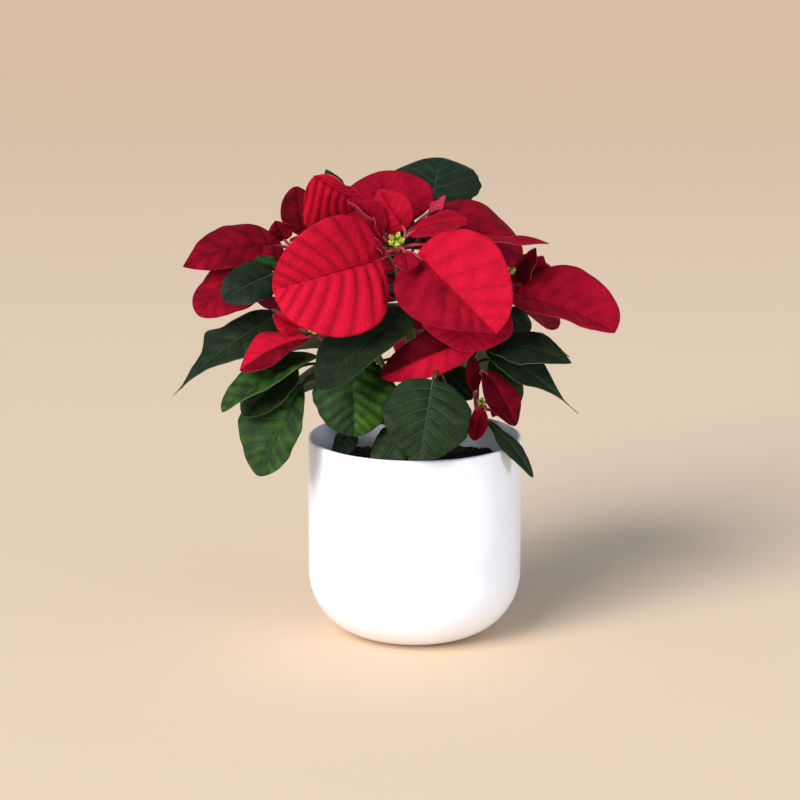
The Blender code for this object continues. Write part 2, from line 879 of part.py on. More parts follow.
def plan_shoots(solids):
    """Every shoot's bracts and leaves with the root of each stalk, by node name."""
    room = Room()
    for solid in solids:
        room.add_solid(solid.name, solid)
    plan = {}
    for shoot in SHOOTS:
        room.add_stem("shoot_" + shoot.name, stem_route(shoot), 2 * STEM_RADIUS)
        hub_end = Vector(shoot.hub) * MM + unit(shoot.axis) * HUB_LENGTH
        room.add_stem("bloom_" + shoot.name, [Vector(shoot.hub) * MM, hub_end], 2 * HUB_RADIUS)
        flowers = [hub_end, hub_end + unit(shoot.axis) * FLOWER_HEIGHT * shoot.flower_size]
        room.add_stem("flowers_" + shoot.name, flowers, FLOWER_ROOM * shoot.flower_size)
        bloom, stem = "bloom_" + shoot.name, "shoot_" + shoot.name
        plan[bloom] = [(blade, bloom_root(shoot, order)) for order, blade in enumerate(shoot.bracts)]
        plan[stem] = [(blade, stem_place(shoot, blade.joint)) for blade in shoot.leaves]
        for owner in (bloom, stem):
            for blade, root in plan[owner]:
                room.add_blade(owner, blade, root)

    for shoot in SHOOTS:
        bloom, stem = "bloom_" + shoot.name, "shoot_" + shoot.name
        hub_roots = [bloom_root(shoot, order) for order in range(shoot.more_bracts)]
        shares = [HIGHEST_LEAF - LEAF_STEP * order for order in range(shoot.more_leaves)]
        stem_roots = [stem_place(shoot, share) for share in shares]
        plan[bloom] += place_by_rule(room, bloom, shoot, hub_roots, shoot.bract_length, BRACT_HABIT)
        plan[stem] += place_by_rule(room, stem, shoot, stem_roots, shoot.leaf_length, LEAF_HABIT)
    return plan


def add_blade(blade, name, collection):
    """The blade as a thin solid: a grid moved into shape, split into triangles and thickened."""
    bm = bmesh.new()
    bmesh.ops.create_grid(bm, x_segments=blade.cells[0], y_segments=blade.cells[1], size=1.0)
    along = np.array([(corner.co.x + 1) / 2 for corner in bm.verts])
    across = np.array([corner.co.y for corner in bm.verts])
    for corner, place in zip(bm.verts, blade.surface(along, across)):
        corner.co = Vector(place) * MM
    bmesh.ops.remove_doubles(bm, verts=bm.verts, dist=MERGE)
    bmesh.ops.triangulate(bm, faces=bm.faces, quad_method="FIXED")
    made = object_from_bmesh(bm, name, collection)
    shell = made.modifiers.new("thickness", "SOLIDIFY")
    shell.thickness = BLADE_THICKNESS
    shell.offset = 0.0
    return applied(made)


def fuse(name, parts, collection, solver="EXACT"):
    """One solid from overlapping parts: a Boolean union whose largest shell is kept."""
    group = bpy.data.collections.new(name + "_parts")
    bpy.context.scene.collection.children.link(group)
    first, *others = parts
    for part in others:
        for holder in list(part.users_collection):
            holder.objects.unlink(part)
        group.objects.link(part)
    union = first.modifiers.new("union", "BOOLEAN")
    union.operation = "UNION"
    union.operand_type = "COLLECTION"
    union.collection = group
    union.solver = solver
    applied(first)
    for part in others:
        bpy.data.objects.remove(part)
    bpy.data.collections.remove(group)
    for holder in list(first.users_collection):
        holder.objects.unlink(first)
    collection.objects.link(first)
    first.name = name
    keep_largest_shell(first)
    return first


def keep_largest_shell(obj):
    """Drops loose scraps and the walls of sealed hollows."""
    bm = bmesh.new()
    bm.from_mesh(obj.data)
    waiting = set(bm.verts)
    shells = []
    while waiting:
        shell = []
        edge_of = [waiting.pop()]
        while edge_of:
            corner = edge_of.pop()
            shell.append(corner)
            for edge in corner.link_edges:
                other = edge.other_vert(corner)
                if other in waiting:
                    waiting.remove(other)
                    edge_of.append(other)
        shells.append(shell)
    shells.sort(key=len)
    for shell in shells[:-1]:
        bmesh.ops.delete(bm, geom=shell, context="VERTS")
    bmesh.ops.triangulate(bm, faces=bm.faces)
    bm.to_mesh(obj.data)
    bm.free()


def arc(centre, radius, start, end, steps):
    """Points (radius from the axis, height) along an arc, angles in degrees."""
    places = []
    for step in range(steps + 1):
        angle = math.radians(start + (end - start) * step / steps)
        places.append((centre[0] + radius * math.cos(angle), centre[1] + radius * math.sin(angle)))
    return places


def pot_profile():
    """The pot's section, from the lip down the outside, in along the base and up the inside."""
    lip = POT_WALL / 2
    inner_corner = POT_CORNER - POT_WALL
    outside = arc((POT_RADIUS - lip, POT_HEIGHT - lip), lip, 90, 0, 2)
    outside += arc((POT_RADIUS - POT_CORNER, POT_CORNER), POT_CORNER, 0, -90, 6)
    floor = [(0.0, 0.0), (0.0, POT_WALL)]
    inside = arc((POT_RADIUS - POT_CORNER, POT_CORNER), inner_corner, -90, 0, 5)
    lip_inside = arc((POT_RADIUS - lip, POT_HEIGHT - lip), lip, 180, 135, 1)
    return outside + floor + inside + lip_inside


def turned(name, profile, steps, collection, closed):
    """A turned solid from a profile that runs down its outer side."""
    bm = bmesh.new()
    corners = [bm.verts.new((radius, 0.0, height)) for radius, height in profile]
    pairs = list(zip(corners, corners[1:]))
    if closed:
        pairs.append((corners[-1], corners[0]))
    for pair in pairs:
        bm.edges.new(pair)
    made = object_from_bmesh(bm, name, collection)
    screw = made.modifiers.new("turn", "SCREW")
    screw.axis = "Z"
    screw.steps = steps
    screw.render_steps = steps
    screw.use_merge_vertices = True
    screw.merge_threshold = MERGE
    return made


def finish(obj, finish_material):
    obj.data.materials.clear()
    obj.data.materials.append(finish_material)
    obj.data.shade_smooth()
    obj.data.set_sharp_from_angle(angle=SHARP_ANGLE)
    return obj


def build_pot(collection):
    pot = turned("pot", pot_profile(), POT_STEPS, collection, closed=True)
    return finish(applied(pot), material("glazed_white", WHITE, 0.35))


def soil_height(x, y):
    """Crumbly relief of the potting soil's top."""
    broad = math.sin(SOIL_BROAD * x + 1) * math.cos(SOIL_BROAD * y)
    fine = math.sin(SOIL_FINE * (x - y)) / 2
    return SOIL_TOP + SOIL_RELIEF * (broad + fine)


def build_soil(collection, helpers):
    """Potting soil that fills the pot, with a plain hole where the trunk stands."""
    side = POT_RADIUS - POT_WALL - GAP
    corner = POT_CORNER - POT_WALL - GAP
    rings = [(side * step / SOIL_RINGS, SOIL_TOP) for step in range(SOIL_RINGS + 1)]
    below = arc((POT_RADIUS - POT_CORNER, POT_CORNER), corner, 0, -90, 5)
    profile = rings + below + [(0.0, POT_WALL + GAP)]
    soil = applied(turned("soil", profile, SOIL_STEPS, collection, closed=False))
    for corner_point in soil.data.vertices:
        if corner_point.co.z > SOIL_TOP - MM:
            corner_point.co.z = soil_height(corner_point.co.x, corner_point.co.y)
    top, bottom = SOIL_TOP + HOLE_RISE, TRUNK_BASE_Z - GAP
    bm = bmesh.new()
    bmesh.ops.create_cone(
        bm,
        cap_ends=True,
        segments=12,
        radius1=TRUNK_RADIUS + GAP,
        radius2=TRUNK_RADIUS + GAP,
        depth=top - bottom,
    )
    cutter = object_from_bmesh(bm, "trunk_hole", helpers)
    cutter.location.z = (top + bottom) / 2
    cutter.hide_render = True
    cutter.display_type = "WIRE"
    hole = soil.modifiers.new("hole", "BOOLEAN")
    hole.operation = "DIFFERENCE"
    hole.object = cutter
    bpy.context.view_layer.update()
    applied(soil)
    return finish(soil, material("potting_soil", SOIL, 0.95))


def build_trunk(collection):
    """The woody trunk with a short stub for each shoot."""
    foot = Vector((0, 0, TRUNK_BASE_Z))
    top = Vector((0, 0, TRUNK_TOP_Z))
    middle = (foot + top) / 2
    radii = [TRUNK_RADIUS * taper for taper in TRUNK_TAPER]
    parts = [tube("trunk", [foot, middle, top], radii, 8, collection)]
    for shoot in SHOOTS:
        start, end, _ = stub_ends(shoot)
        taper = [STUB_RADIUS, STEM_RADIUS]
        parts.append(tube("stub_" + shoot.name, [start, end], taper, 6, collection))
    return finish(fuse("trunk", parts, collection), material("woody_stem", BARK, 0.8))


def build_stalk(blade, root, name, collection):
    route = stalk_route(root, blade)
    return tube(name, route, [STALK_RADIUS] * len(route), 4, collection)


def build_group(name, body, blades, collection, finish_material):
    """One node: a stem or hub with all of its blades on their stalks."""
    parts = [body]
    for index, (blade, root) in enumerate(blades):
        parts.append(build_stalk(blade, root, f"{name}_stalk_{index}", collection))
        parts.append(add_blade(blade, f"{name}_blade_{index}", collection))
    return finish(fuse(name, parts, collection), finish_material)


def build_shoot(shoot, blades, collection):
    route = stem_route(shoot)
    radii = [STEM_RADIUS] * len(route)
    stem = tube("stem", route, radii, 6, collection)
    return build_group(
        "shoot_" + shoot.name, stem, blades, collection, material("leaf_" + shoot.name, GREEN, 0.5)
    )


def build_bloom(shoot, blades, collection):
    start = Vector(shoot.hub) * MM + unit(shoot.axis) * GAP
    end = start + unit(shoot.axis) * HUB_LENGTH
    hub = tube("hub", [start, end], [STEM_RADIUS, HUB_RADIUS], 6, collection)
    return build_group(
        "bloom_" + shoot.name, hub, blades, collection, material("bract_" + shoot.name, RED, 0.55)
    )


def build_flowers(shoot, collection):
    """The cluster of small bead-like true flowers on the hub's end, fused in one solid."""
    up = unit(shoot.axis)
    turn = up.to_track_quat("Z", "Y").to_matrix().to_4x4()
    foot = Vector(shoot.hub) * MM + up * (HUB_LENGTH + 2 * GAP)
    size = shoot.flower_size
    bm = bmesh.new()
    bmesh.ops.create_cone(
        bm,
        cap_ends=True,
        segments=6,
        radius1=FLOWER_BASE_RADIUS * size,
        radius2=FLOWER_CUP_RADIUS * size,
        depth=FLOWER_CUP_HEIGHT * size,
    )
    bmesh.ops.translate(bm, verts=bm.verts, vec=(0, 0, FLOWER_CUP_HEIGHT * size / 2))
    parts = [object_from_bmesh(bm, "flower_cup", collection)]
    for index in range(FLOWER_COUNT):
        bm = bmesh.new()
        bmesh.ops.create_icosphere(bm, subdivisions=1, radius=FLOWER_BEAD_RADIUS * size)
        bmesh.ops.scale(bm, vec=(1, 1, FLOWER_BEAD_STRETCH), verts=bm.verts)
        angle = 2 * math.pi * index / FLOWER_COUNT
        height = FLOWER_BEAD_HEIGHT + FLOWER_BEAD_STEP * (index % 2)
        place = Vector((FLOWER_SPREAD * math.cos(angle), FLOWER_SPREAD * math.sin(angle), height))
        bmesh.ops.translate(bm, verts=bm.verts, vec=place * size)
        parts.append(object_from_bmesh(bm, f"flower_{index}", collection))
    cluster = fuse("flowers_" + shoot.name, parts, collection)
    cluster.matrix_world = Matrix.Translation(foot) @ turn
    return finish(cluster, material("flower_" + shoot.name, FLOWER, 0.45))


def main():
    clear_scene()
    plant = new_collection("poinsettia_in_pot")
    helpers = new_collection("cutters")
    pot = build_pot(plant)
    soil = build_soil(plant, helpers)
    build_trunk(plant)
    plan = plan_shoots((pot, soil))
    for shoot in SHOOTS:
        build_shoot(shoot, plan["shoot_" + shoot.name], plant)
        build_bloom(shoot, plan["bloom_" + shoot.name], plant)
        build_flowers(shoot, plant)
    stand = bpy.data.objects.new("poinsettia", None)
    plant.objects.link(stand)
    for piece in plant.objects:
        if piece != stand:
            piece.parent = stand


main()
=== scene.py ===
"""Looks of the poinsettia in its white pot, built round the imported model.

Units are metres with +Z up, the origin is the middle of the pot's flat base, and the photographed
side looks towards -Y. Every blade's own points are in millimetres. Blades that no photograph shows
are placed by the same rule as in the part's source, so each piece keeps its solid's form.
"""

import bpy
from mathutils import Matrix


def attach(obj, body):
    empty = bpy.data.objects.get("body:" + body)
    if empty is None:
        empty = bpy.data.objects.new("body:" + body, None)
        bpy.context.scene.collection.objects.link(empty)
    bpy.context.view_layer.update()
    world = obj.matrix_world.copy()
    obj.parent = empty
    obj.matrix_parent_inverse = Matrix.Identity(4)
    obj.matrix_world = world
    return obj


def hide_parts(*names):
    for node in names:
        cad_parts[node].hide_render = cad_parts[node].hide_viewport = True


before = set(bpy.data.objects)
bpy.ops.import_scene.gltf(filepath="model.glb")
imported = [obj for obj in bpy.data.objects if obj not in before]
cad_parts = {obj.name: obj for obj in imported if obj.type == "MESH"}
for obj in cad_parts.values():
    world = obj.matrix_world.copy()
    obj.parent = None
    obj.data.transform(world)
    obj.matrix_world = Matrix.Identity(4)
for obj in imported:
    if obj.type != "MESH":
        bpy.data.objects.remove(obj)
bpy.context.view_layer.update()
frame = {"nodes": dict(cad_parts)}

import logging
import math
import random
from collections.abc import Iterator
from dataclasses import dataclass, replace
from enum import Enum
from functools import cache

import bmesh
import bpy
import numpy as np
from bmesh.types import BMEdge, BMesh, BMVert
from bpy.types import Light, Material, Node, NodeSocket, Object
from mathutils import Matrix, Quaternion, Vector, noise
from mathutils.bvhtree import BVHTree

log = logging.getLogger("poinsettia")

Point = tuple[float, float, float]
Range = tuple[float, float]
Shell = tuple[list[Vector], list[tuple[int, int, int]]]
Array = np.ndarray
Inputs = dict[int | str, object]
Veins = dict[str, NodeSocket]
Layers = list[tuple[NodeSocket, NodeSocket | str]]
Constants = tuple[tuple[str, float | str], ...]

BODY = "root"
MM = 0.001
GAP = 0.0003
MERGE = 0.00001
TINY = 1e-9
UP = Vector((0, 0, 1))
PHOTO_SIDE = 800

# Stems, shared by the shoots, blooms and flowers that meet on them
STEM_RADIUS = 0.0026
HUB_LENGTH = 0.013
HUB_RADIUS = 0.0028
FLOWER_ROOM = 0.0130
FLOWER_HEIGHT = 0.008
STUB_LENGTH = 0.014
STUB_RADIUS = 0.0032
TRUNK_TOP_Z = 0.158
STALK_RADIUS = 0.0011
STALK_SINK = 0.0022
STALK_RISE = 0.35
STALK_START_PULL = 0.40
STALK_END_PULL = 0.35
STEM_END = 0.003
STEM_PULL = 0.36
STEM_STEPS = 32

# Blades
LOBE_SPREAD = 0.09
MIDRIB_BLEND = 0.08
WAVE_DRIFT = 0.021
WAVE_OFFSET = 0.35
RIB_STEPS = 120
ENTRY_STEP = 5 / RIB_STEPS
BROAD = (6, 4)
LONG = (8, 4)
LARGE = (5, 4)
SMALL = (4, 2)
CLEARANCE = 3.0

# Blades placed by rule
GOLDEN_ANGLE = 137.5
INNERMOST = 9
DROOP = 0.25
SKYWARD = 0.4
LOWEST_ROOT = 0.15
ROOT_SPREAD = 0.50
HIGHEST_LEAF = 0.85
LEAF_STEP = 0.1
TRY_SIZES = (1.0, 0.85, 0.7)
TRY_RISES = (0, 10, -10, 20, -20, 32, -32)
TRY_TURNS = (0, 14, -14, 28, -28)
TRY_ROUNDS = 3

# Settings of shader nodes, and the sockets of a Mix node that mixes colours
PLUS = {"operation": "ADD"}
TIMES = {"operation": "MULTIPLY"}
TIMES_PLUS = {"operation": "MULTIPLY_ADD"}
OVER = {"operation": "DIVIDE"}
FOLDED = {"operation": "PINGPONG"}
SMOOTH = {"interpolation_type": "SMOOTHSTEP"}
COLOURS = {"data_type": "RGBA"}
MIX_SHARE, MIX_BELOW, MIX_OVER, MIX_RESULT = 0, 6, 7, 2


def colour(code: str) -> tuple[float, float, float, float]:
    """Turns an sRGB hex value into linear light.

    Args:
        code: Six hex digits, such as "D8102A".

    Returns:
        Linear red, green, blue and an alpha of 1.
    """
    linear = []
    for start in (0, 2, 4):
        share = int(code[start : start + 2], 16) / 255
        linear.append(share / 12.92 if share <= 0.04045 else ((share + 0.055) / 1.055) ** 2.4)
    return linear[0], linear[1], linear[2], 1.0


def per_metre(size: float) -> float:
    """The scale of a pattern whose features are a size in millimetres."""
    return 1 / (size * MM)


class Surface:
    """A material in the making."""

    def __init__(self, name: str) -> None:
        """Starts it with Blender's own shader.

        Args:
            name: The material's name.
        """
        self.material = bpy.data.materials.new(name)
        self.material.use_nodes = True
        self.tree = self.material.node_tree
        self.shader = self.tree.nodes["Principled BSDF"]

    def feed(self, node: Node, inputs: Inputs) -> None:
        """Links or sets a node's inputs.

        Args:
            node: The node.
            inputs: A socket, a number or a hex colour for each input, by its name or index.
        """
        for key, value in inputs.items():
            if isinstance(value, NodeSocket):
                self.tree.links.new(value, node.inputs[key])
            else:
                node.inputs[key].default_value = colour(value) if isinstance(value, str) else value

    def add(
        self, kind: str, inputs: Inputs | tuple = (), output: int | str = 0, **settings: object
    ) -> NodeSocket:
        """Adds a node with its settings and links.

        Args:
            kind: The node's type name without "ShaderNode".
            inputs: What its inputs get, in order or by name or index.
            output: The output that is wanted.
            settings: Attributes of the node itself.

        Returns:
            The output's socket.
        """
        node = self.tree.nodes.new("ShaderNode" + kind)
        for name, value in settings.items():
            setattr(node, name, value)
        self.feed(node, inputs if isinstance(inputs, dict) else dict(enumerate(inputs)))
        return node.outputs[output]


@dataclass(frozen=True)
class Tissue:
    """Skin of a blade, with veins that follow the blade's own attributes.

    Widths, sizes and depths are in millimetres. The inks are the shares that veins are coloured.
    """

    name: str
    dark: str
    bright: str
    vein_and_painted_shade: str
    back: str
    back_vein: str
    edge: str
    midrib_width: float
    lateral_width: float
    midrib_ink: float
    net_size: float
    net_depth: float
    grain_size: float
    grain_depth: float
    cloud_size: float
    constants: Constants
    cloud_detail: float = 3.0
    back_ink: float = 0.4
    lateral_slimming: float = -0.75
    midrib_slimming: float = -0.8
    lateral_core: float = 0.35
    midrib_core: float = 0.4
    net_line: Range = (0.16, 0.02)
    turn_to_back: Range = (0.45, 0.55)
    rim: Range = (0.02, 0.2)
    grain_detail: float = 4.0
    bump_strength: float = 0.9

    def veins(self, surface: Surface) -> Veins:
        """Adds the veins' pattern.

        Args:
            surface: The material.

        Returns:
            The blade's attributes and the pattern's sockets, most of them from 0 to 1.
        """
        add = surface.add
        names = ("phase", "pitch", "span", "reach", "tone", "under", "length", "vein_ink_and_painted_shade")
        veins = {name: add("Attribute", (), "Fac", attribute_name=name) for name in names}
        to_line = add("Math", (veins["phase"], 0.5), **FOLDED)
        distance = add("Math", (to_line, veins["pitch"]), **TIMES)
        lateral = (distance, "reach", self.lateral_slimming, self.lateral_width, self.lateral_core)
        midrib = (veins["span"], "length", self.midrib_slimming, self.midrib_width, self.midrib_core)
        for name, (away, along, slimming, width, core) in (("lateral", lateral), ("midrib", midrib)):
            slim = add("Math", (veins[along], slimming, 1.0), **TIMES_PLUS)
            edge = add("Math", (slim, width), **TIMES)
            veins[name] = add("MapRange", (add("Math", (away, edge), **OVER), 1.0, core), **SMOOTH)
        veins["place"] = add("TexCoord", (), "Object")
        cells = {"Vector": veins["place"], "Scale": per_metre(self.net_size), "Randomness": 1.0}
        net = add("TexVoronoi", cells, "Distance", feature="DISTANCE_TO_EDGE")
        veins["net"] = add("MapRange", (net, *self.net_line), **SMOOTH)
        veins["pillow"] = add("Math", (to_line, 2.0), **TIMES)
        scale = per_metre(self.cloud_size)
        clouds = {"Vector": veins["place"], "Scale": scale, "Detail": self.cloud_detail}
        veins["cloud"] = add("TexNoise", clouds)
        return veins

    def relief(self, surface: Surface, veins: Veins) -> NodeSocket:
        """Adds the low relief of veins, net and grain.

        Args:
            surface: The material.
            veins: The veins' pattern.

        Returns:
            The normal's socket.
        """
        height: NodeSocket | float = 0.0
        for name, times in (("net", 1), ("lateral", 1), ("midrib", 2)):
            height = surface.add("Math", (veins[name], -times * self.net_depth, height), **TIMES_PLUS)
        scale = per_metre(self.grain_size)
        grains = {"Vector": veins["place"], "Scale": scale, "Detail": self.grain_detail}
        grain = surface.add("TexNoise", grains)
        height = surface.add("Math", (grain, self.grain_depth, height), **TIMES_PLUS)
        bump = {"Height": height, "Strength": self.bump_strength, "Distance": MM}
        return surface.add("Bump", bump, "Normal")

    def face(self, surface: Surface, veins: Veins) -> tuple[NodeSocket | str, Layers]:
        """Adds the face's pattern, of which each kind of blade has its own.

        Args:
            surface: The material.
            veins: The veins' pattern.

        Returns:
            The lowest colour, and the layers over it: the share that each covers and its colour.
        """
        raise NotImplementedError

    def make(self) -> Material:
        """Builds the material: the face, its midrib, the back and the rim between them."""
        surface = Surface(self.name)
        veins = self.veins(surface)
        midrib = surface.add("Math", (veins["midrib"], self.midrib_ink), **TIMES)
        back_lines = surface.add("Math", (veins["lateral"], self.back_ink), **TIMES)
        under = surface.add("MapRange", (veins["under"], *self.turn_to_back), **SMOOTH)
        to_rim = surface.add("Math", (veins["under"], 0.5), **FOLDED)
        rim = surface.add("MapRange", (to_rim, *self.rim), **SMOOTH)
        backs = {MIX_SHARE: back_lines, MIX_BELOW: self.back, MIX_OVER: self.back_vein}
        back = surface.add("Mix", backs, MIX_RESULT, **COLOURS)
        shown, layers = self.face(surface, veins)
        for share, over in (*layers, (midrib, self.vein_and_painted_shade), (under, back), (rim, self.edge)):
            mix = {MIX_SHARE: share, MIX_BELOW: shown, MIX_OVER: over}
            shown = surface.add("Mix", mix, MIX_RESULT, **COLOURS)
        looks = {"Base Color": shown, "Normal": self.relief(surface, veins), **dict(self.constants)}
        surface.feed(surface.shader, looks)
        return surface.material


@dataclass(frozen=True)
class BractTissue(Tissue):
    """Velvety red bract: coloured leaf tissue with a fine nap, sunken veins and a paler edge.

    The nap gives a soft pink bloom at grazing light and no gloss.
    """

    name: str = "bract_tissue_velvety_red"
    dark: str = "3E0009"
    bright: str = "C8122E"
    # Dark red of the midrib, and of the painted shade in the valleys at the side veins
    vein_and_painted_shade: str = "4A000A"
    back: str = "B02040"
    back_vein: str = "C05A70"
    edge: str = "B23A55"
    midrib_width: float = 0.9
    lateral_width: float = 0.6
    midrib_ink: float = 0.6
    net_size: float = 3.6
    net_depth: float = 0.16
    grain_size: float = 1.6
    grain_depth: float = 0.30
    cloud_size: float = 12
    constants: Constants = (
        ("Roughness", 0.7),
        ("IOR", 1.40),
        ("Specular IOR Level", 0.06),
        ("Sheen Weight", 0.02),
        ("Sheen Roughness", 0.4),
        ("Sheen Tint", "FF9AAE"),
    )
    cloudiness: float = 0.5
    net_ink: float = 0.12
    # How far from the side veins the painted valley shade reaches
    valley: Range = (0.75, 0.0)

    def face(self, surface: Surface, veins: Veins) -> tuple[NodeSocket | str, Layers]:
        """Adds the face: cloudy red with a dark net, and painted shade in the valleys at the side veins,
        between the quilts.

        Args:
            surface: The material.
            veins: The veins' pattern.

        Returns:
            The lowest colour, and the layers over it.
        """
        cloud = (veins["cloud"], self.cloudiness, -self.cloudiness / 2)
        clouds = surface.add("Math", cloud, **TIMES_PLUS)
        # Painted light and shade: the blade's tone sets how bright its red is, and the clouds vary it at
        # random
        lit = surface.add("Math", (veins["tone"], clouds), **PLUS)
        red = surface.add("MapRange", (lit, 0.0, 1.0), **SMOOTH)
        net = surface.add("Math", (veins["net"], self.net_ink), **TIMES)
        # Painted shade: the valleys at the side veins are darkened, as much as the blade's vein ink and
        # painted shade
        valley = surface.add("MapRange", (veins["pillow"], *self.valley), **SMOOTH)
        inked_veins_and_painted_shade = surface.add("Math", (valley, veins["vein_ink_and_painted_shade"]), **TIMES)
        return self.dark, [(red, self.bright), (net, self.dark), (inked_veins_and_painted_shade, self.vein_and_painted_shade)]


@dataclass(frozen=True)
class LeafTissue(Tissue):
    """Green leaf: a waxy, half matte skin with pale veins and a lighter underside.

    The wax gives a broad grey sheen, and the veins stay pale.
    """

    name: str = "leaf_tissue_waxy_green"
    dark: str = "1B2913"
    bright: str = "4C8212"
    vein_and_painted_shade: str = "6C8A60"
    back: str = "34482A"
    back_vein: str = "7C9060"
    edge: str = "62783E"
    midrib_width: float = 0.6
    lateral_width: float = 0.38
    midrib_ink: float = 0.22
    net_size: float = 2.6
    net_depth: float = 0.14
    grain_size: float = 1.0
    grain_depth: float = 0.12
    cloud_size: float = 11
    constants: Constants = (("Roughness", 0.52), ("IOR", 1.45), ("Specular IOR Level", 0.17))
    cloudiness: float = 0.9
    # Painted light and shade: quilts between side veins lighter, valleys at the veins darker
    quilt_light_and_shade: Range = (0.5, -0.35)
    patches: Range = (0.3, 0.75)
    shade: str = "C0C0C0"
    light: str = "FFFFFF"

    def face(self, surface: Surface, veins: Veins) -> tuple[NodeSocket | str, Layers]:
        """Adds the face: green with painted light on the quilts and painted shade in the valleys between
        them, in patches, with pale veins.

        Args:
            surface: The material.
            veins: The veins' pattern.

        Returns:
            The lowest colour, and the layer over it.
        """
        cloud = (veins["cloud"], self.cloudiness, -self.cloudiness / 2)
        clouds = surface.add("Math", cloud, **TIMES_PLUS)
        # Painted light and shade: the quilts are lit and the valleys at the side veins darkened
        painted_quilt_shading = surface.add("Math", (veins["pillow"], *self.quilt_light_and_shade), **TIMES_PLUS)
        uneven = surface.add("Math", (clouds, painted_quilt_shading), **PLUS)
        # The leaf's tone, partly its own green and partly painted light and shade
        lit = surface.add("Math", (uneven, veins["tone"], veins["tone"]), **TIMES_PLUS)
        fresh_and_lit = surface.add("MapRange", (lit, 0.0, 1.0), **SMOOTH)
        patch = surface.add("MapRange", (veins["cloud"], *self.patches), **SMOOTH)
        inked_veins_and_painted_shade = surface.add("Math", (veins["lateral"], veins["vein_ink_and_painted_shade"]), **TIMES)
        greens = {MIX_SHARE: fresh_and_lit, MIX_BELOW: self.dark, MIX_OVER: self.bright}
        green = surface.add("Mix", greens, MIX_RESULT, **COLOURS)
        shades = {MIX_SHARE: patch, MIX_BELOW: self.shade, MIX_OVER: self.light}
        shade = surface.add("Mix", shades, MIX_RESULT, **COLOURS)
        both = {MIX_SHARE: 1.0, MIX_BELOW: green, MIX_OVER: shade}
        shaded = surface.add("Mix", both, MIX_RESULT, blend_type="MULTIPLY", **COLOURS)
        return shaded, [(inked_veins_and_painted_shade, self.vein_and_painted_shade)]


@dataclass(frozen=True)
class PatchedSkin:
    """A finish of two colours in soft patches, some with a low relief.

    Patches, grains and depths are in millimetres. The stretch is below 1 for patches that run
    upright. The relief follows the patches, or its own finer grain where that has a size.
    """

    name: str
    first: str
    second: str
    patch: float
    limits: Range
    roughness: float
    constants: Constants = ()
    detail: float = 2.0
    stretch: float = 1.0
    grain: float = 0.0
    grain_detail: float = 2.0
    bump_strength: float = 0.0
    bump_depth: float = 1.0

    def make(self) -> Material:
        """Builds the material."""
        surface = Surface(self.name)
        place = surface.add("TexCoord", (), "Object")
        along = surface.add("Mapping", {"Vector": place, "Scale": (1.0, 1.0, self.stretch)})
        cloud = {"Vector": along, "Scale": per_metre(self.patch), "Detail": self.detail}
        patches = surface.add("TexNoise", cloud)
        share = surface.add("MapRange", (patches, *self.limits), **SMOOTH)
        mix = {MIX_SHARE: share, MIX_BELOW: self.first, MIX_OVER: self.second}
        shown = surface.add("Mix", mix, MIX_RESULT, **COLOURS)
        looks = {"Base Color": shown, "Roughness": self.roughness, **dict(self.constants)}
        if self.grain:
            scale = per_metre(self.grain)
            grains = {"Vector": place, "Scale": scale, "Detail": self.grain_detail}
            patches = surface.add("TexNoise", grains)
        if self.bump_strength:
            depth = self.bump_depth * MM
            bump = {"Height": patches, "Strength": self.bump_strength, "Distance": depth}
            looks["Normal"] = surface.add("Bump", bump, "Normal")
        surface.feed(surface.shader, looks)
        return surface.material


@dataclass(frozen=True)
class Stalk(PatchedSkin):
    """Young stem and leaf stalk: smooth skin, flushed dark red in long soft patches by the sun."""

    patch: float = 16
    limits: Range = (0.35, 0.65)
    roughness: float = 0.42
    constants: Constants = (("IOR", 1.45),)


@dataclass(frozen=True)
class Bark(PatchedSkin):
    """Woody trunk: thin grey-brown bark. Its upright furrows catch shade, with no gloss."""

    name: str = "young_bark_grey_brown"
    first: str = "4A3826"
    second: str = "8A745A"
    patch: float = 1.6
    limits: Range = (0.35, 0.68)
    roughness: float = 0.85
    detail: float = 5.0
    stretch: float = 0.18
    bump_strength: float = 0.8
    bump_depth: float = 0.6


@dataclass(frozen=True)
class PottingSoil(PatchedSkin):
    """Peat potting soil: near black damp crumbs stay dull, and only brown fibres catch light."""

    name: str = "peat_potting_soil_damp"
    first: str = "1D1510"
    second: str = "4A3524"
    patch: float = 2.4
    limits: Range = (0.52, 0.78)
    roughness: float = 0.9
    detail: float = 6.0
    bump_strength: float = 1.0


@dataclass(frozen=True)
class WhiteGlaze(PatchedSkin):
    """Glazed stoneware: a satin white glaze, which blurs reflections and is faintly uneven."""

    name: str = "satin_white_glaze_on_stoneware"
    first: str = "EEEFF1"
    second: str = "F3F4F6"
    patch: float = 38
    limits: Range = (0.3, 0.7)
    roughness: float = 0.34
    constants: Constants = (("IOR", 1.5), ("Coat Weight", 0.15), ("Coat Roughness", 0.2))
    detail: float = 3.0
    grain: float = 1.8
    bump_strength: float = 0.12
    bump_depth: float = 0.15


@dataclass(frozen=True)
class FlowerSkin(PatchedSkin):
    """Waxy skin of the true flowers' parts: small sharp highlights on round beads."""

    patch: float = 1.8
    limits: Range = (0.4, 0.65)
    roughness: float = 0.32
    constants: Constants = (("IOR", 1.45), ("Subsurface Weight", 0.2), ("Subsurface Scale", 0.001))


